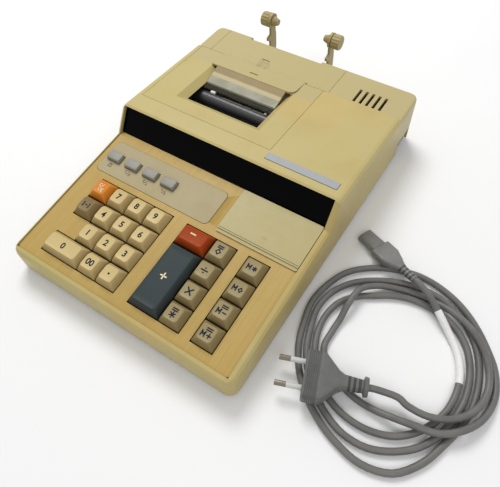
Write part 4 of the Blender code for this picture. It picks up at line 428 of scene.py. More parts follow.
def clear_plastic():
    """Tear bar in bands: a clear lip, a grey milky strip, a cream line and an ochre band."""
    finish = Finish("smoky_clear")
    cloud = finish.noise(80.0, 4.0, 0.6)
    drift = finish.y + (cloud - 0.5) * 0.0012
    grey = finish.mix(cloud.rise(0.4, 0.65), (0.36, 0.345, 0.265), (0.30, 0.285, 0.205))
    colour = finish.mix(drift.rise(57.2 * MM, 58.4 * MM), grey, (0.50, 0.43, 0.235))
    colour = finish.mix(drift.rise(61.0 * MM, 62.4 * MM), colour, (0.30, 0.225, 0.10))
    body = drift.rise(49.9 * MM, 50.3 * MM)
    return finish.set(Base_Color=colour, Roughness=cloud * 0.2 + 0.2, Alpha=body * 0.84 + 0.06,
                      Normal=finish.bump(finish.noise(900.0), 0.006), Specular_IOR_Level=0.1)


def silver_print():
    """Bare silver-grey print of the badge."""
    finish = Finish("badge_silver")
    grain = finish.noise(1200.0, 4.0, 0.7)
    colour = finish.mix(grain.rise(0.35, 0.7), (0.36, 0.375, 0.385), (0.30, 0.31, 0.315))
    return finish.set(Base_Color=colour, Roughness=grain * 0.15 + 0.35,
                      Normal=finish.bump(grain, 0.006), Specular_IOR_Level=0.2)


def printed(name, tone):
    """Ink of the legends, a little worn; also the tone of the rods over the roller and of the
    painted shade on the rear cover's embossed frame.
    """
    finish = Finish(name)
    worn = finish.noise(1400.0, 4.0, 0.7).rise(0.6, 0.85)
    pale = tuple(channel * 0.6 + 0.12 for channel in tone)
    return finish.set(Base_Color=finish.mix(worn * 0.25, tone, pale), Roughness=worn * 0.2 + 0.45,
                      Specular_IOR_Level=0.08)


def board_green():
    finish = Finish("board_green")
    tracks = finish.cells(260.0, "F1").rise(0.25, 0.35)
    colour = finish.mix(tracks, (0.10, 0.16, 0.05), (0.05, 0.09, 0.03))
    return finish.set(Base_Color=colour, Roughness=finish.noise(300.0) * 0.2 + 0.4,
                      Normal=finish.bump(tracks, 0.03))


PLATE = streaked_plate()
GLASS = dark_window()
CLEAR = clear_plastic()
DARK_STEEL = metal("dark_steel", (0.10, 0.10, 0.10), (0.05, 0.045, 0.04), 0.38, 0.8)
ROLLER = rubber("roller_rubber", (0.010, 0.010, 0.011), (0.030, 0.030, 0.030), 0.42, 0.01)
# Near-black painted shade, put on the keyboard's well walls, on the key board seen between the
# keys, and on the lid's fine line and grooves.
WELL_SHADE = rubber("well_shadow", (0.006, 0.005, 0.004), (0.015, 0.012, 0.008), 0.7, 0.01)
FEET = rubber("foot_rubber", (0.02, 0.02, 0.02), (0.06, 0.055, 0.05))
INLET = rubber("inlet_black", (0.02, 0.02, 0.022), (0.05, 0.05, 0.05), 0.45, 0.01)
INK = printed("legend_ink", (0.007, 0.013, 0.032))
PALE_INK = printed("legend_pale", (0.72, 0.64, 0.42))
BLUE_INK = printed("symbol_blue", (0.016, 0.026, 0.075))
# Darker tone of the rods over the roller, and of the rear cover's embossed frame, where it is
# painted shade standing for the frame's relief.
EMBOSS = printed("embossed_line", (0.26, 0.24, 0.17))
BADGE = silver_print()
BOARD = board_green()


RIB_PITCH, RIB_EDGE = 1.4, 0.3
SLOT_WIDTH, SLOT_EDGE = 1.9, 0.4


def grey_vinyl(name, tone, worn, end=None, turn=0.0, slots=(), ribs=None, pins=None):
    """Grey vinyl; along its own axis it may have slots darkened by painted shade, ribs with painted
    shade in their troughs, and pins past its face.
    """
    finish = Finish(name)
    mottle = finish.noise(60.0, 4.0, 0.6)
    scuff = finish.noise(420.0, 4.0, 0.65).rise(0.55, 0.8)
    colour = finish.mix(mottle.rise(0.35, 0.7), tone, tuple(channel * 0.8 for channel in tone))
    colour = finish.mix(scuff * 0.35, colour, worn)
    normal = finish.bump(finish.noise(900.0), 0.012)
    rough = scuff * 0.15 + 0.36
    if end is not None:
        along = (finish.x - end.x) * math.cos(turn) + (finish.y - end.y) * math.sin(turn)
        for low in slots:
            high = low + SLOT_WIDTH
            slot = (along.rise(low * MM, (low + SLOT_EDGE) * MM)
                    * along.rise(high * MM, (high - SLOT_EDGE) * MM))
            # Painted shade: the slot is darkened to near-black, as its recess would be in shade.
            colour = finish.mix(slot * 0.8, colour, (0.03, 0.03, 0.03))
            normal = finish.bump(1.0 - slot, 0.5, normal)
        if ribs:
            wave = along.maths("SINE", along * (2 * math.pi / (RIB_PITCH * MM)))
            low, high = ribs
            inside = (along.rise(low * MM, (low + RIB_EDGE) * MM)
                      * along.rise(high * MM, (high - RIB_EDGE) * MM))
            normal = finish.bump(wave * inside, 0.25, normal)
            # Painted shade darkens the troughs of the ribs.
            colour = finish.mix((wave * inside * -1.0).capped() * 0.35, colour, (0.05, 0.05, 0.05))
        if pins:
            face, sleeve = pins
            white = along.rise(face * MM, (face + 0.1) * MM)
            steel = along.rise(sleeve * MM, (sleeve + 0.2) * MM)
            colour = finish.mix(white, colour, (0.56, 0.56, 0.54))
            colour = finish.mix(steel, colour, (0.20, 0.175, 0.14))
            rough = rough - steel * 0.16
            finish.set(Metallic=steel)
    return finish.set(Base_Color=colour, Roughness=rough, Normal=normal, Specular_IOR_Level=0.25)


def paper_label():
    finish = Finish("white_label")
    fibre = finish.noise(700.0, 5.0, 0.7)
    colour = finish.mix(fibre.rise(0.3, 0.8), (0.80, 0.80, 0.79), (0.70, 0.69, 0.67))
    return finish.set(Base_Color=colour, Roughness=fibre * 0.2 + 0.45,
                      Normal=finish.bump(fibre, 0.01))


LABEL = paper_label()
SLEEVES = rubber("pin_sleeves", (0.62, 0.60, 0.56), (0.5, 0.47, 0.42), 0.45, 0.008)


# Lead: clockwise from above, degrees swept from +Y, radius and height in millimetres
LEAD_ROUTE = [
    (-11, 60.8, 13.6), (0, 54.6, 13.3), (15, 48.0, 10.4), (28, 45.8, 6.0), (42, 45.4, 2.7),
    (80, 46.0, 2.7), (95, 46.8, 2.7), (107, 48.0, 2.7), (120, 49.4, 2.7), (132, 51.0, 2.7),
    (150, 54.0, 2.7), (185, 56.0, 2.7), (245, 56.0, 2.7), (263, 56.3, 2.7), (290, 56.0, 2.7),
    (301, 53.8, 2.7), (322, 49.4, 2.7), (342, 49.6, 2.7), (360, 50.0, 2.7), (375, 51.0, 2.7),
    (400, 53.0, 2.7), (440, 52.3, 2.7), (456, 53.2, 2.7), (476, 55.8, 2.7), (498, 61.0, 2.7),
    (514, 64.0, 2.7), (537, 67.0, 2.7), (550, 66.0, 2.7), (566, 63.5, 2.7), (606, 62.0, 2.7),
    (620, 62.3, 2.7), (635, 65.0, 2.7), (650, 66.0, 2.7), (667, 65.0, 2.7), (687, 62.2, 2.7),
    (711, 62.0, 2.7), (735, 62.0, 2.7), (760, 60.6, 2.7), (800, 58.4, 2.7), (821, 60.0, 2.7),
    (845, 63.8, 2.7), (863, 72.0, 2.7), (874, 77.0, 2.7), (885, 78.6, 2.7), (896, 76.5, 2.7),
    (909, 73.0, 2.7), (926, 70.0, 2.7), (966, 68.0, 2.7), (981, 68.4, 2.7), (997, 71.5, 2.7),
    (1014, 73.4, 2.7), (1031, 75.4, 2.7), (1051, 73.2, 2.7), (1066, 72.8, 2.7), (1080, 71.0, 2.7),
    (1100, 68.4, 2.7), (1117, 66.8, 2.7), (1135, 67.0, 2.7), (1155, 70.0, 2.7), (1168, 69.4, 3.4),
    (1186, 65.5, 8.4), (1205, 58.5, 8.5), (1225, 47.5, 8.5), (1240, 43.5, 7.0), (1262, 41.5, 2.7),
    (1300, 45.0, 2.7), (1324, 49.8, 2.7), (1340, 47.0, 2.7), (1355, 46.0, 3.2), (1370, 48.5, 8.3),
    (1380, 52.8, 8.5), (1392, 56.4, 8.4), (1408, 56.2, 4.5), (1425, 55.8, 2.7), (1445, 56.3, 2.9),
    (1458, 56.6, 6.0), (1470, 58.0, 8.4), (1490, 61.5, 8.4), (1505, 63.4, 7.2), (1520, 63.9, 7.0),
    (1533, 62.0, 8.6), (1545, 58.6, 8.8), (1560, 50.5, 8.9), (1583, 36.8, 9.9),
]
LEAD_THICKNESS = 5.0
LEAD_MIDDLE = (186.0, -62.0)
LEAD_GAP = 0.3
LEAST_LEVEL = 2.6
POINTS_A_ROUND = 24
CONNECTOR_HEADING, CONNECTOR_PITCH = math.radians(155.0), math.radians(-9.8)
PLUG_HEADING = math.radians(200.0)
PLUG_END = Vector((181.0, -95.0, 12.7)) * MM
LEAD = grey_vinyl("grey_vinyl", (0.155, 0.152, 0.143), (0.24, 0.235, 0.22))


def heading(turn, pitch):
    level = math.cos(pitch)
    return Vector((math.cos(turn) * level, math.sin(turn) * level, math.sin(pitch)))


def blended(places, keys, values):
    """Cubic blend through chosen values, with slopes taken from their neighbours."""
    slopes = np.gradient(values, keys)
    index = np.clip(np.searchsorted(keys, places, side="right") - 1, 0, len(keys) - 2)
    span = keys[index + 1] - keys[index]
    share = (places - keys[index]) / span
    start = (1 + 2 * share) * (1 - share) ** 2
    finish = share ** 2 * (3 - 2 * share)
    leaving = share * (1 - share) ** 2 * span
    arriving = share ** 2 * (share - 1) * span
    blend = start * values[index] + finish * values[index + 1]
    return blend + leaving * slopes[index] + arriving * slopes[index + 1]


def lead_route():
    """The lead's points in metres, in the frame's own place."""
    swept, radius, height = np.array(LEAD_ROUTE, dtype=float).T
    count = round((swept[-1] - swept[0]) / 360.0 * POINTS_A_ROUND) + 1
    places = np.linspace(swept[0], swept[-1], count)
    away = blended(places, swept, radius)
    level = np.maximum(blended(places, swept, height), LEAST_LEVEL)
    angle = np.radians(90.0 - places)
    x = LEAD_MIDDLE[0] + away * np.cos(angle)
    y = LEAD_MIDDLE[1] + away * np.sin(angle)
    points = [Vector(point) * MM for point in zip(x, y, level)]
    inward = heading(CONNECTOR_HEADING, CONNECTOR_PITCH)
    first = points[0] + inward * LEAD_GAP * MM - inward * LEAD_THICKNESS * MM
    outward = heading(PLUG_HEADING, 0.0)
    before = PLUG_END - outward * LEAD_THICKNESS * MM
    sweep = Vector((0, -LEAD_THICKNESS / 3, -LEAD_THICKNESS / 3)) * MM
    earlier = PLUG_END - outward * LEAD_THICKNESS * 4 * MM + sweep
    route = [points[0], first] + points[1:] + [earlier, before, PLUG_END]
    return [MACHINE @ point for point in route]


def fine_route(route, steps=4):
    """The same route with points between, on a smooth curve through all of them."""
    ends = [route[0] * 2 - route[1]] + route + [route[-1] * 2 - route[-2]]
    points = []
    for a, b, c, d in zip(ends[:-3], ends[1:-2], ends[2:-1], ends[3:]):
        for step in range(steps):
            t = step / steps
            points.append(0.5 * ((2 * b) + (c - a) * t + (2 * a - 5 * b + 4 * c - d) * t ** 2
                                 + (3 * b - a - 3 * c + d) * t ** 3))
    return points + [route[-1]]


def tube_along(name, points, radius, finish):
    curve = bpy.data.curves.new(name, "CURVE")
    curve.dimensions = "3D"
    curve.bevel_depth = radius * MM
    curve.bevel_resolution = 4
    curve.use_fill_caps = True
    spline = curve.splines.new("POLY")
    spline.points.add(len(points) - 1)
    for target, point in zip(spline.points, points):
        target.co = (*point, 1)
        target.radius = 1.0
    curve.materials.append(finish)
    tube = bpy.data.objects.new(name, curve)
    bpy.context.scene.collection.objects.link(tube)
    take(tube)
    bpy.ops.object.convert(target="MESH")
    tube = bpy.context.object
    merge(tube, 0.01)
    leave()
    bpy.ops.object.shade_smooth_by_angle(angle=math.radians(60))
    tube.name = name
    return tube


def build_lead(route):
    return tube_along("lead", route, LEAD_THICKNESS / 2, LEAD)


LABEL_START, LABEL_END = 26.0, 84.0


def build_label(route):
    """A bare white sleeve round the cord, not far from the connector."""
    gone = 0.0
    points = []
    for a, b in zip(route[:-1], route[1:]):
        if LABEL_START * MM <= gone <= LABEL_END * MM:
            points.append(a)
        gone += (b - a).length
    label = tube_along("lead_label", points, LEAD_THICKNESS / 2 + 0.25, LABEL)
    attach(label, "case")
    return label


route = fine_route(lead_route())
CONNECTOR = grey_vinyl("connector_vinyl", (0.185, 0.185, 0.175), (0.26, 0.255, 0.24), route[0],
                       CONNECTOR_HEADING, slots=(2.2, 5.6, 9.0, 12.4))
PLUG = grey_vinyl("plug_vinyl", (0.135, 0.135, 0.130), (0.22, 0.215, 0.205),
                  MACHINE @ PLUG_END, PLUG_HEADING, slots=(5.0, 8.6, 12.2), ribs=(33.6, 42.4),
                  pins=(44.1, 54.6))
lead = build_lead(route)
label = build_label(route)
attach(lead, "case")
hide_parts("lead_cord")
path_length = sum((b - a).length for a, b in zip(route[:-1], route[1:]))


# Keys: a crown on a sloped skirt
NUMBER_WELL, FUNCTION_WELL, MEMORY_WELL = -84.25, 5.5, 63.1
PITCH = 19.05
ROWS = 4
WELLS_FRONT = reach(-59.9) - ROWS * PITCH
KEY_INSET = 0.5
KEYS = [
    ("key_clear", NUMBER_WELL, 0, 3, 1, 1, "orange", "clear"),
    ("key_7", NUMBER_WELL, 1, 3, 1, 1, "beige", "7"),
    ("key_8", NUMBER_WELL, 2, 3, 1, 1, "beige", "8"),
    ("key_9", NUMBER_WELL, 3, 3, 1, 1, "beige", "9"),
    ("key_shift", NUMBER_WELL, 0, 2, 1, 1, "umber", "shift"),
    ("key_4", NUMBER_WELL, 1, 2, 1, 1, "beige", "4"),
    ("key_5", NUMBER_WELL, 2, 2, 1, 1, "beige", "5"),
    ("key_6", NUMBER_WELL, 3, 2, 1, 1, "beige", "6"),
    ("key_1", NUMBER_WELL, 1, 1, 1, 1, "beige", "1"),
    ("key_2", NUMBER_WELL, 2, 1, 1, 1, "beige", "2"),
    ("key_3", NUMBER_WELL, 3, 1, 1, 1, "beige", "3"),
    ("key_0", NUMBER_WELL, 0, 0, 2, 1, "beige", "0"),
    ("key_00", NUMBER_WELL, 2, 0, 1, 1, "beige", "00"),
    ("key_point", NUMBER_WELL, 3, 0, 1, 1, "beige", "point"),
    ("key_minus", FUNCTION_WELL, 0, 3, 1.5, 1, "red", "minus"),
    ("key_plus", FUNCTION_WELL, 0, 0, 1.5, 3, "slate", "plus"),
    ("key_equals", FUNCTION_WELL, 1.5, 3, 1, 1, "olive", "diamond"),
    ("key_divide", FUNCTION_WELL, 1.5, 2, 1, 1, "olive", "divide"),
    ("key_times", FUNCTION_WELL, 1.5, 1, 1, 1, "olive", "times"),
    ("key_total", FUNCTION_WELL, 1.5, 0, 1, 1, "olive", "star"),
    ("key_memory_total", MEMORY_WELL, 0, 3, 1, 1, "olive", "M_star"),
    ("key_memory_subtotal", MEMORY_WELL, 0, 2, 1, 1, "olive", "M_diamond"),
    ("key_memory_minus", MEMORY_WELL, 0, 1, 1, 1, "olive", "M_minus"),
    ("key_memory_plus", MEMORY_WELL, 0, 0, 1, 1, "olive", "M_plus"),
]
# Skirt and crown finishes; for beige and olive keys they are shaded and lit copies of one plastic.
KEY_FINISHES = {
    "beige": (SKIRT_SHADED_CREAM, CROWN_LIT_CREAM),
    "olive": (SKIRT_SHADED_OLIVE, CROWN_LIT_OLIVE),
    "orange": (ORANGE, ORANGE),
    "red": (RED, RED),
    "slate": (SLATE, SLATE),
    "umber": (UMBER, UMBER),
}

# Insets, corner radii and heights of a cap's levels
SKIRT_LEVELS = [(0.3, 0.9, -1.8), (0.0, 1.0, -1.5), (0.0, 1.0, 0.0), (0.25, 1.1, 0.9),
                (1.5, 1.7, 3.6), (2.75, 2.4, 6.15), (2.95, 2.5, 6.3)]
CROWN_LEVELS = [(3.0, 2.6, 6.32), (3.02, 2.6, 6.55), (3.12, 2.6, 6.72), (3.32, 2.5, 6.8),
                (3.6, 2.4, 6.76), (4.1, 2.1, 6.66), (5.0, 1.6, 6.52), (6.2, 1.1, 6.42),
                (7.6, 0.7, 6.38)]
CROWN_START = 6.31


def key_cap(name, columns, rows):
    """A cap with a straight lip, a sloped skirt and a dished crown, about its own middle."""
    x = columns * PITCH / 2 - KEY_INSET
    y = rows * PITCH / 2 - KEY_INSET
    levels = [(x - inset, y - inset, corner, height)
              for inset, corner, height in SKIRT_LEVELS + CROWN_LEVELS]
    cap = stacked(name, levels)
    # Crown faces take the second slot, which holds the lit copy on cream and olive keys.
    for face in cap.data.polygons:
        if face.center.z > CROWN_START * MM:
            face.material_index = 1
    return smoothed(cap, 50)


def text_piece(name, text, size, finish, bold):
    deselect()
    bpy.ops.object.text_add(location=(0, 0, 0))
    piece = bpy.context.object
    piece.data.body = text
    piece.data.size = size * MM
    piece.data.align_x = "CENTER"
    piece.data.align_y = "CENTER"
    piece.data.offset = bold * MM
    piece.data.resolution_u = 4
    bpy.ops.object.convert(target="MESH")
    piece = named(name, finish)
    corners = np.array([corner.co for corner in piece.data.vertices])
    middle = (corners.min(axis=0) + corners.max(axis=0)) / 2
    piece.location = (-middle[0], -middle[1], 0)
    bpy.ops.object.transform_apply(location=True, rotation=True, scale=True)
    return piece


def key_place(low_x, column, row, columns, rows):
    x = low_x + (column + columns / 2) * PITCH
    y = WELLS_FRONT + (row + rows / 2) * PITCH
    return KEYBOARD @ Matrix.Translation((x * MM, y * MM, 0))


def equals(x, y):
    return [(x - 2.1, y - 0.75, x + 2.1, y - 0.75), (x - 2.1, y + 0.75, x + 2.1, y + 0.75)]


def lozenge(x, y, wide, high):
    corners = [(x, y - high), (x + wide, y), (x, y + high), (x - wide, y)]
    return [(*a, *b) for a, b in zip(corners, corners[1:] + corners[:1])]


def star(x, y, size):
    rays = [(math.cos(math.radians(turn)) * size, math.sin(math.radians(turn)) * size)
            for turn in (90, 30, 150)]
    return [(x - a, y - b, x + a, y + b) for a, b in rays]


def letter_m(x, y):
    corners = [(x - 1.35, y - 1.8), (x - 1.35, y + 1.8), (x, y - 0.5), (x + 1.35, y + 1.8),
               (x + 1.35, y - 1.8)]
    return [(*a, *b) for a, b in zip(corners[:-1], corners[1:])]


def letter_c(x, y):
    corners = [(x + 0.9, y + 0.9), (x + 0.3, y + 1.4), (x - 0.5, y + 1.2), (x - 0.9, y + 0.4),
               (x - 0.9, y - 0.4), (x - 0.5, y - 1.2), (x + 0.3, y - 1.4), (x + 0.9, y - 0.9)]
    return [(*a, *b) for a, b in zip(corners[:-1], corners[1:])]


STROKES = {
    "clear": (0.55, letter_c(-2.0, 2.0) + [(-0.5, 0.5, 0.9, 3.5)] + letter_c(-0.6, -2.0)
              + [(1.2, -3.4, 1.2, -0.6), (1.2, -0.6, 2.7, -0.6), (1.2, -2.0, 2.4, -2.0),
                 (1.2, -3.4, 2.7, -3.4)]),
    "shift": (0.8, [(-2.2, 1.7, -2.9, 1.7), (-2.9, 1.7, -2.9, -1.7), (-2.9, -1.7, -2.2, -1.7),
                    (2.2, 1.7, 2.9, 1.7), (2.9, 1.7, 2.9, -1.7), (2.9, -1.7, 2.2, -1.7),
                    (-1.1, 0.0, 1.1, 0.0)]),
    "diamond": (0.95, equals(0.0, 2.7) + lozenge(0.0, -1.3, 1.9, 2.1)),
    "divide": (1.1, [(-2.5, 0.0, 2.5, 0.0), (-0.05, 2.0, 0.05, 2.0), (-0.05, -2.0, 0.05, -2.0)]),
    "times": (1.1, [(-2.2, -2.3, 2.2, 2.3), (-2.2, 2.3, 2.2, -2.3)]),
    "star": (0.95, equals(0.0, 2.7) + star(0.0, -1.4, 2.2)),
    "point": (1.5, [(-0.05, 0.0, 0.05, 0.0)]),
    "minus": (1.1, [(-3.3, 1.7, 0.7, 1.7)]),
    "plus": (1.15, [(-2.3, 0.2, 2.3, 0.2), (0.0, -2.1, 0.0, 2.5)]),
    "M_star": (0.9, letter_m(-2.3, 0.0) + star(2.4, 0.0, 1.6)),
    "M_diamond": (0.9, letter_m(-2.3, 0.0) + lozenge(2.4, 0.0, 1.4, 1.7)),
    "M_minus": (0.9, equals(0.6, 2.9) + letter_m(-2.3, -1.2) + [(1.0, -1.2, 3.6, -1.2)]),
    "M_plus": (0.9, equals(0.6, 2.9) + letter_m(-2.3, -1.2)
               + [(0.9, -1.2, 3.9, -1.2), (2.4, -2.7, 2.4, 0.3)]),
}


STROKE_STEPS = 4
STROKE_LIFT = 0.002


def strokes_piece(name, lines, thick, finish):
    """Straight strokes of one thickness, in millimetres, as a flat mesh of short pieces."""
    form = bmesh.new()
    half = thick / 2
    for index, (x0, y0, x1, y1) in enumerate(lines):
        run = Vector((x1 - x0, y1 - y0, 0))
        way = run.normalized()
        side = Vector((-way.y, way.x, 0)) * half
        start = Vector((x0, y0, index * STROKE_LIFT)) - way * half
        whole = run + way * thick
        rows = [[form.verts.new((start + whole * (step / STROKE_STEPS) + side * turn) * MM)
                 for turn in (1, -1)] for step in range(STROKE_STEPS + 1)]
        for near, far in zip(rows[:-1], rows[1:]):
            form.faces.new((near[1], far[1], far[0], near[0]))
    mesh = bpy.data.meshes.new(name)
    form.to_mesh(mesh)
    mesh.materials.append(finish)
    piece = bpy.data.objects.new(name, mesh)
    bpy.context.scene.collection.objects.link(piece)
    return piece


DIGIT_SIZE, DIGIT_BOLD = 7.2, 0.17
LEGEND_DROP = 9.0
INK_GAP, INK_THICKNESS = 0.06, 0.04


def legend_piece(name, legend, finish, cap):
    """A legend laid on the dished crown of a cap, then given its thickness of ink."""
    if legend in STROKES:
        thick, lines = STROKES[legend]
        piece = strokes_piece(name, lines, thick, finish)
    else:
        piece = text_piece(name, legend, DIGIT_SIZE, finish, DIGIT_BOLD)
    settle(piece, Matrix.Translation((0, 0, LEGEND_DROP * MM)))
    lay = piece.modifiers.new("lay", "SHRINKWRAP")
    lay.target = cap
    lay.wrap_method = "PROJECT"
    lay.use_project_z = True
    lay.use_negative_direction = True
    lay.use_positive_direction = False
    lay.offset = INK_GAP * MM
    bpy.ops.object.modifier_apply(modifier=lay.name)
    ink = piece.modifiers.new("ink", "SOLIDIFY")
    ink.thickness = INK_THICKNESS * MM
    ink.offset = 1.0
    bpy.ops.object.modifier_apply(modifier=ink.name)
    return piece


def build_keys():
    shapes = {}
    for name, well, column, row, columns, rows, colour, legend in KEYS:
        size = (columns, rows)
        if size not in shapes:
            shapes[size] = key_cap(f"cap_{columns}_{rows}", columns, rows)
        place = key_place(well, column, row, columns, rows)
        ink = PALE_INK if colour in ("orange", "red", "slate") else INK
        mark = legend_piece("legend_" + name[4:], legend, ink, shapes[size])
        settle(mark, place)
        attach(mark, name)
        cap = copy_of(shapes[size], "cap_" + name[4:])
        for finish in KEY_FINISHES[colour]:
            cap.data.materials.append(finish)
        settle(cap, place)
        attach(cap, name)
        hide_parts(name)
    for shape in shapes.values():
        bpy.data.objects.remove(shape)


build_keys()


# Keyboard plate with well walls darkened by painted shade
WELL_MARGIN = 3
WELLS_LEFT, WELLS_RIGHT = -90, 86


def build_plate():
    plate = copy_of(nodes["keyboard_plate"], "plate")
    plate.parent = None
    merge(plate, 0.02)
    bpy.ops.mesh.dissolve_limited(angle_limit=math.radians(0.6))
    leave()
    into = KEYBOARD.inverted()
    turn = into.to_3x3()
    plate.data.materials.clear()
    plate.data.materials.append(PLATE)
    plate.data.materials.append(WELL_SHADE)
    front = (WELLS_FRONT - WELL_MARGIN) * MM
    rear = (WELLS_FRONT + ROWS * PITCH + WELL_MARGIN) * MM
    left, right = WELLS_LEFT * MM, WELLS_RIGHT * MM
    # Wall faces inside the wells take the painted shade.
    for face in plate.data.polygons:
        middle = into @ face.center
        wall = abs((turn @ face.normal).z) < 0.5
        inside = front < middle.y < rear and left < middle.x < right
        face.material_index = 1 if wall and inside else 0
    smoothed(plate, 30)
    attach(plate, "case")
    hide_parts("keyboard_plate")


build_plate()


def span_in(node, place):
    """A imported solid's box in a frame, in millimetres."""
    into = place.inverted()
    corners = np.array([into @ (nodes[node].matrix_world @ corner.co)
                        for corner in nodes[node].data.vertices]) / MM
    return corners.min(axis=0), corners.max(axis=0)


BUTTON_SYMBOLS = [
    [(-1.6, -1.6, -1.6, 1.4), (1.6, -1.6, 1.6, 1.4), (-1.6, -1.6, 1.6, -1.6),
     (0.0, -0.8, 0.0, 1.8), (-0.8, 1.0, 0.0, 1.9), (0.8, 1.0, 0.0, 1.9)],
    [(-2.4, 0.2, -2.4, 1.8), (-2.9, 1.4, -2.4, 1.8), (-1.3, -1.3, 1.1, 1.5),
     (1.4, -1.6, 2.6, -1.6), (1.4, -0.2, 2.6, -0.2), (2.6, -1.6, 2.6, 0.8)],
    [(-2.7, 1.7, -1.5, 1.7), (-1.5, 1.7, -2.6, 0.2), (-2.6, 0.2, -1.4, 0.2),
     (-1.1, -1.3, 1.2, 1.5), (1.4, -1.7, 2.6, -1.7), (2.0, -1.7, 2.0, 0.0)],
    [(-2.6, 1.8, -1.6, 1.2), (-1.6, 1.2, -2.6, 0.4), (-1.1, -1.3, 1.2, 1.5),
     (1.5, -1.7, 2.5, -1.7), (1.5, -0.4, 2.5, -0.4), (1.5, -1.7, 1.5, 0.6)],
]
SYMBOL_THICK = 0.42
SYMBOL_REACH = 8.6
SYMBOL_HEIGHT = 0.34


def build_buttons():
    """Flat push-buttons with slightly tapered sides, and a small symbol before each."""
    for index, lines in enumerate(BUTTON_SYMBOLS):
        node = f"push_button_{index + 1}"
        low, high = span_in(node, KEYBOARD)
        x, y = (low[0] + high[0]) / 2, (low[1] + high[1]) / 2
        half_x, half_y = (high[0] - low[0]) / 2, (high[1] - low[1]) / 2
        levels = [(half_x, half_y, 0.9, 0.2), (half_x - 0.15, half_y - 0.15, 0.9, high[2] - 0.5),
                  (half_x - 0.3, half_y - 0.3, 0.9, high[2] - 0.15),
                  (half_x - 0.6, half_y - 0.6, 0.8, high[2])]
        cap = smoothed(stacked(f"button_cap_{index + 1}", levels, BUTTONS), 50)
        settle(cap, KEYBOARD @ Matrix.Translation((x * MM, y * MM, 0)))
        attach(cap, node)
        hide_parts(node)
        mark = strokes_piece(f"button_symbol_{index + 1}", lines, SYMBOL_THICK, BLUE_INK)
        place = Vector((x, y - SYMBOL_REACH, SYMBOL_HEIGHT)) * MM
        settle(mark, KEYBOARD @ Matrix.Translation(place))
        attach(mark, "case")


build_buttons()


# Spans and heights of the fine line of painted shade, the ribs, and the strips of painted shade in
# the grooves between the ribs.
LID_LINE = (4.0, 4.35)
LID_LINE_HEIGHTS = (1.88, 1.93)
RIB_COUNT, RIB_START, RIB_STEP = 3, 0.55, 0.75
RIB_WIDTH, GROOVE_WIDTH = 0.35, 0.2
RIB_HEIGHTS, GROOVE_HEIGHTS = (0.65, 0.95), (0.68, 0.72)
TRIANGLE_PLACE = (65.6, 102.5, 1.88)
TRIANGLE_LEVELS = [(2.7, 1.6, 1.5, 0.0), (2.0, 1.1, 1.0, 0.25), (1.0, 0.5, 0.45, 0.3)]


def build_lid_details():
    """Fine line of painted shade behind the lid's edge, ribs on its low lip with strips of painted
    shade in the grooves between them, and a soft raised triangle.
    """
    low, high = span_in("selector_lid", KEYBOARD)

    def strip(name, inset, span, heights, finish):
        start, end = (low[1] + y for y in span)
        piece = block(name, (low[0] + inset, start, heights[0]),
                      (high[0] - inset, end, heights[1]), finish)
        settle(piece, KEYBOARD)
        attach(piece, "selector_lid")

    strip("lid_shade_line", 0.6, LID_LINE, LID_LINE_HEIGHTS, WELL_SHADE)
    for index in range(RIB_COUNT):
        start = RIB_START + index * RIB_STEP
        end = start + RIB_WIDTH
        strip(f"lid_rib_{index + 1}", 0.8, (start, end), RIB_HEIGHTS, LID)
        strip(f"lid_groove_shade_{index + 1}", 0.8, (end, end + GROOVE_WIDTH), GROOVE_HEIGHTS, WELL_SHADE)
    mark = stacked("lid_triangle", TRIANGLE_LEVELS, LID)
    half = TRIANGLE_LEVELS[0][1] * MM
    for corner in mark.data.vertices:
        corner.co.x *= max(0.15, (half - corner.co.y) / (2 * half))
    smoothed(mark, 60)
    settle(mark, KEYBOARD @ Matrix.Translation(Vector(TRIANGLE_PLACE) * MM))
    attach(mark, "selector_lid")


build_lid_details()


RODS = [("bail_rod_left", -44.0, -22.0), ("bail_rod_middle", -20.5, -13.0),
        ("bail_rod_right", -11.0, 1.0)]
ROD_SECTION = ((61.2, 48.0), (61.5, 48.2))
CARRIER_LEVELS = [(2.6, 1.5, 0.6, 0), (2.4, 1.3, 0.6, 1.4), (1.9, 0.9, 0.5, 1.6)]
CARRIER_PLACE = (-55.5, 63.4, 47.2)
ROD_END_LEVELS = [(1.2, 0.9, 0.5, 0), (1.1, 0.8, 0.5, 1.2), (0.7, 0.5, 0.3, 1.4)]
ROD_END_PLACE = (1.2, 62.4, 47.4)


def build_opening_details():
    """A fine rod over the roller, an ivory carrier at its left and a bright end at its right."""
    low, high = ROD_SECTION
    for name, start, end in RODS:
        piece = block(name, (start, *low), (end, *high), EMBOSS)
        settle(piece, MACHINE)
        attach(piece, "case")
    for name, levels, finish, place in (
            ("ribbon_carrier", CARRIER_LEVELS, SLEEVES, CARRIER_PLACE),
            ("rod_end", ROD_END_LEVELS, BADGE, ROD_END_PLACE)):
        piece = stacked(name, levels, finish)
        settle(piece, MACHINE @ Matrix.Translation(Vector(place) * MM))
        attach(piece, "case")


build_opening_details()


FRAME_LINES = [(-36.0, 98.5, -39.4, 120.5), (-27.4, 98.5, -30.9, 120.5),
               (-33.6, 99.5, -36.6, 119.5), (-39.4, 120.5, -30.9, 120.5)]
FRAME_THICK, FRAME_LIFT = 0.4, 0.06


def build_rear_cover_mark():
    """Thin lines of painted shade, standing for the embossed frame between the two latch slots of
    the rear cover.
    """
    front = HOOD_FRONT[0]
    level = math.cos(HOOD_TILT)
    flat = [(x0, (y0 - front) / level, x1, (y1 - front) / level)
            for x0, y0, x1, y1 in FRAME_LINES]
    mark = strokes_piece("rear_cover_frame_shade", flat, FRAME_THICK, EMBOSS)
    settle(mark, HOOD @ Matrix.Translation((0, 0, FRAME_LIFT * MM)))
    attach(mark, "case")


build_rear_cover_mark()


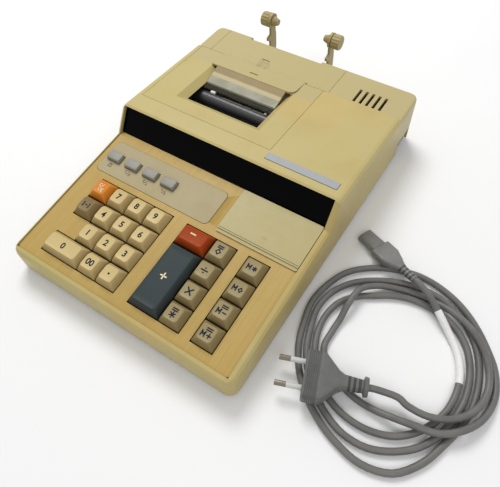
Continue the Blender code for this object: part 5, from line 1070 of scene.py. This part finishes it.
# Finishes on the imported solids
def dress():
    finishes = {
        "top_case": HOUSING, "bottom_case": TRAY, "keyboard_plate": PLATE, "inlay_panel": INLAY,
        "display_window": GLASS, "display_tube": GLASS, "rear_cover": COVERS,
        # The key board seen between the keys takes the near-black painted shade.
        "key_board": WELL_SHADE, "main_board": BOARD, "transformer": DARK_STEEL,
        "printer_chassis": DARK_STEEL, "paper_motor": DARK_STEEL, "mains_inlet": INLET,
        "badge_plate": BADGE, "lead_connector": CONNECTOR, "lead_plug": PLUG,
        "printer_cover": COVERS, "tear_bar": CLEAR, "paper_arms": ARMS, "spindle_left": ARMS,
        "spindle_right": ARMS, "platen_roller": ROLLER, "print_drum": DARK_STEEL,
        "selector_lid": LID,
    }
    for name, item in nodes.items():
        if name.startswith("foot"):
            finish = FEET
        elif name.startswith("push_button") or name.startswith("selector_knob"):
            finish = BUTTONS
        else:
            finish = finishes.get(name)
        if finish:
            for slot in item.material_slots:
                slot.material = finish


dress()


# Floor, light and background
FLOOR_SIZE = 6
SOFT_LIGHT, WHITE_BACKDROP = 0.55, 1.0
LIT_PLACE = (0, -0.02, 0.0)
LAMPS = [("key_light", (-0.55, 0.55, 1.25), 0.7, 13.0),
         ("fill_light", (0.7, -0.7, 1.1), 0.9, 4.0)]


def build_stage():
    deselect()
    bpy.ops.mesh.primitive_plane_add(size=FLOOR_SIZE, location=(0, 0, 0))
    floor = named("floor")
    finish = Finish("floor_white")
    grain = finish.noise(8.0, 3.0)
    finish.set(Base_Color=finish.mix(grain, (0.86, 0.86, 0.86), (0.84, 0.84, 0.84)),
               Roughness=grain * 0.1 + 0.8, Specular_IOR_Level=0.1)
    floor.data.materials.append(finish.material)
    world = bpy.data.worlds.new("studio")
    bpy.context.scene.world = world
    world.use_nodes = True
    tree = world.node_tree
    tree.nodes.clear()
    path = tree.nodes.new("ShaderNodeLightPath")
    seen = tree.nodes.new("ShaderNodeMath")
    seen.operation = "MAXIMUM"
    tree.links.new(path.outputs["Is Camera Ray"], seen.inputs[0])
    tree.links.new(path.outputs["Is Glossy Ray"], seen.inputs[1])
    blend = tree.nodes.new("ShaderNodeMixShader")
    tree.links.new(seen.outputs[0], blend.inputs[0])
    for place, strength in enumerate((SOFT_LIGHT, WHITE_BACKDROP), start=1):
        glow = tree.nodes.new("ShaderNodeBackground")
        glow.inputs["Color"].default_value = (1.0, 1.0, 1.0, 1.0)
        glow.inputs["Strength"].default_value = strength
        tree.links.new(glow.outputs[0], blend.inputs[place])
    output = tree.nodes.new("ShaderNodeOutputWorld")
    tree.links.new(blend.outputs[0], output.inputs["Surface"])
    for name, place, size, power in LAMPS:
        lamp(name, place, LIT_PLACE, size, power)


def lamp(name, place, target, size, power):
    light = bpy.data.lights.new(name, "AREA")
    light.shape = "DISK"
    light.size = size
    light.energy = power
    item = bpy.data.objects.new(name, light)
    item.location = place
    aim = Vector(target) - Vector(place)
    item.rotation_euler = aim.to_track_quat("-Z", "Y").to_euler()
    bpy.context.scene.collection.objects.link(item)


build_stage()
bpy.context.scene.view_settings.view_transform = "Standard"
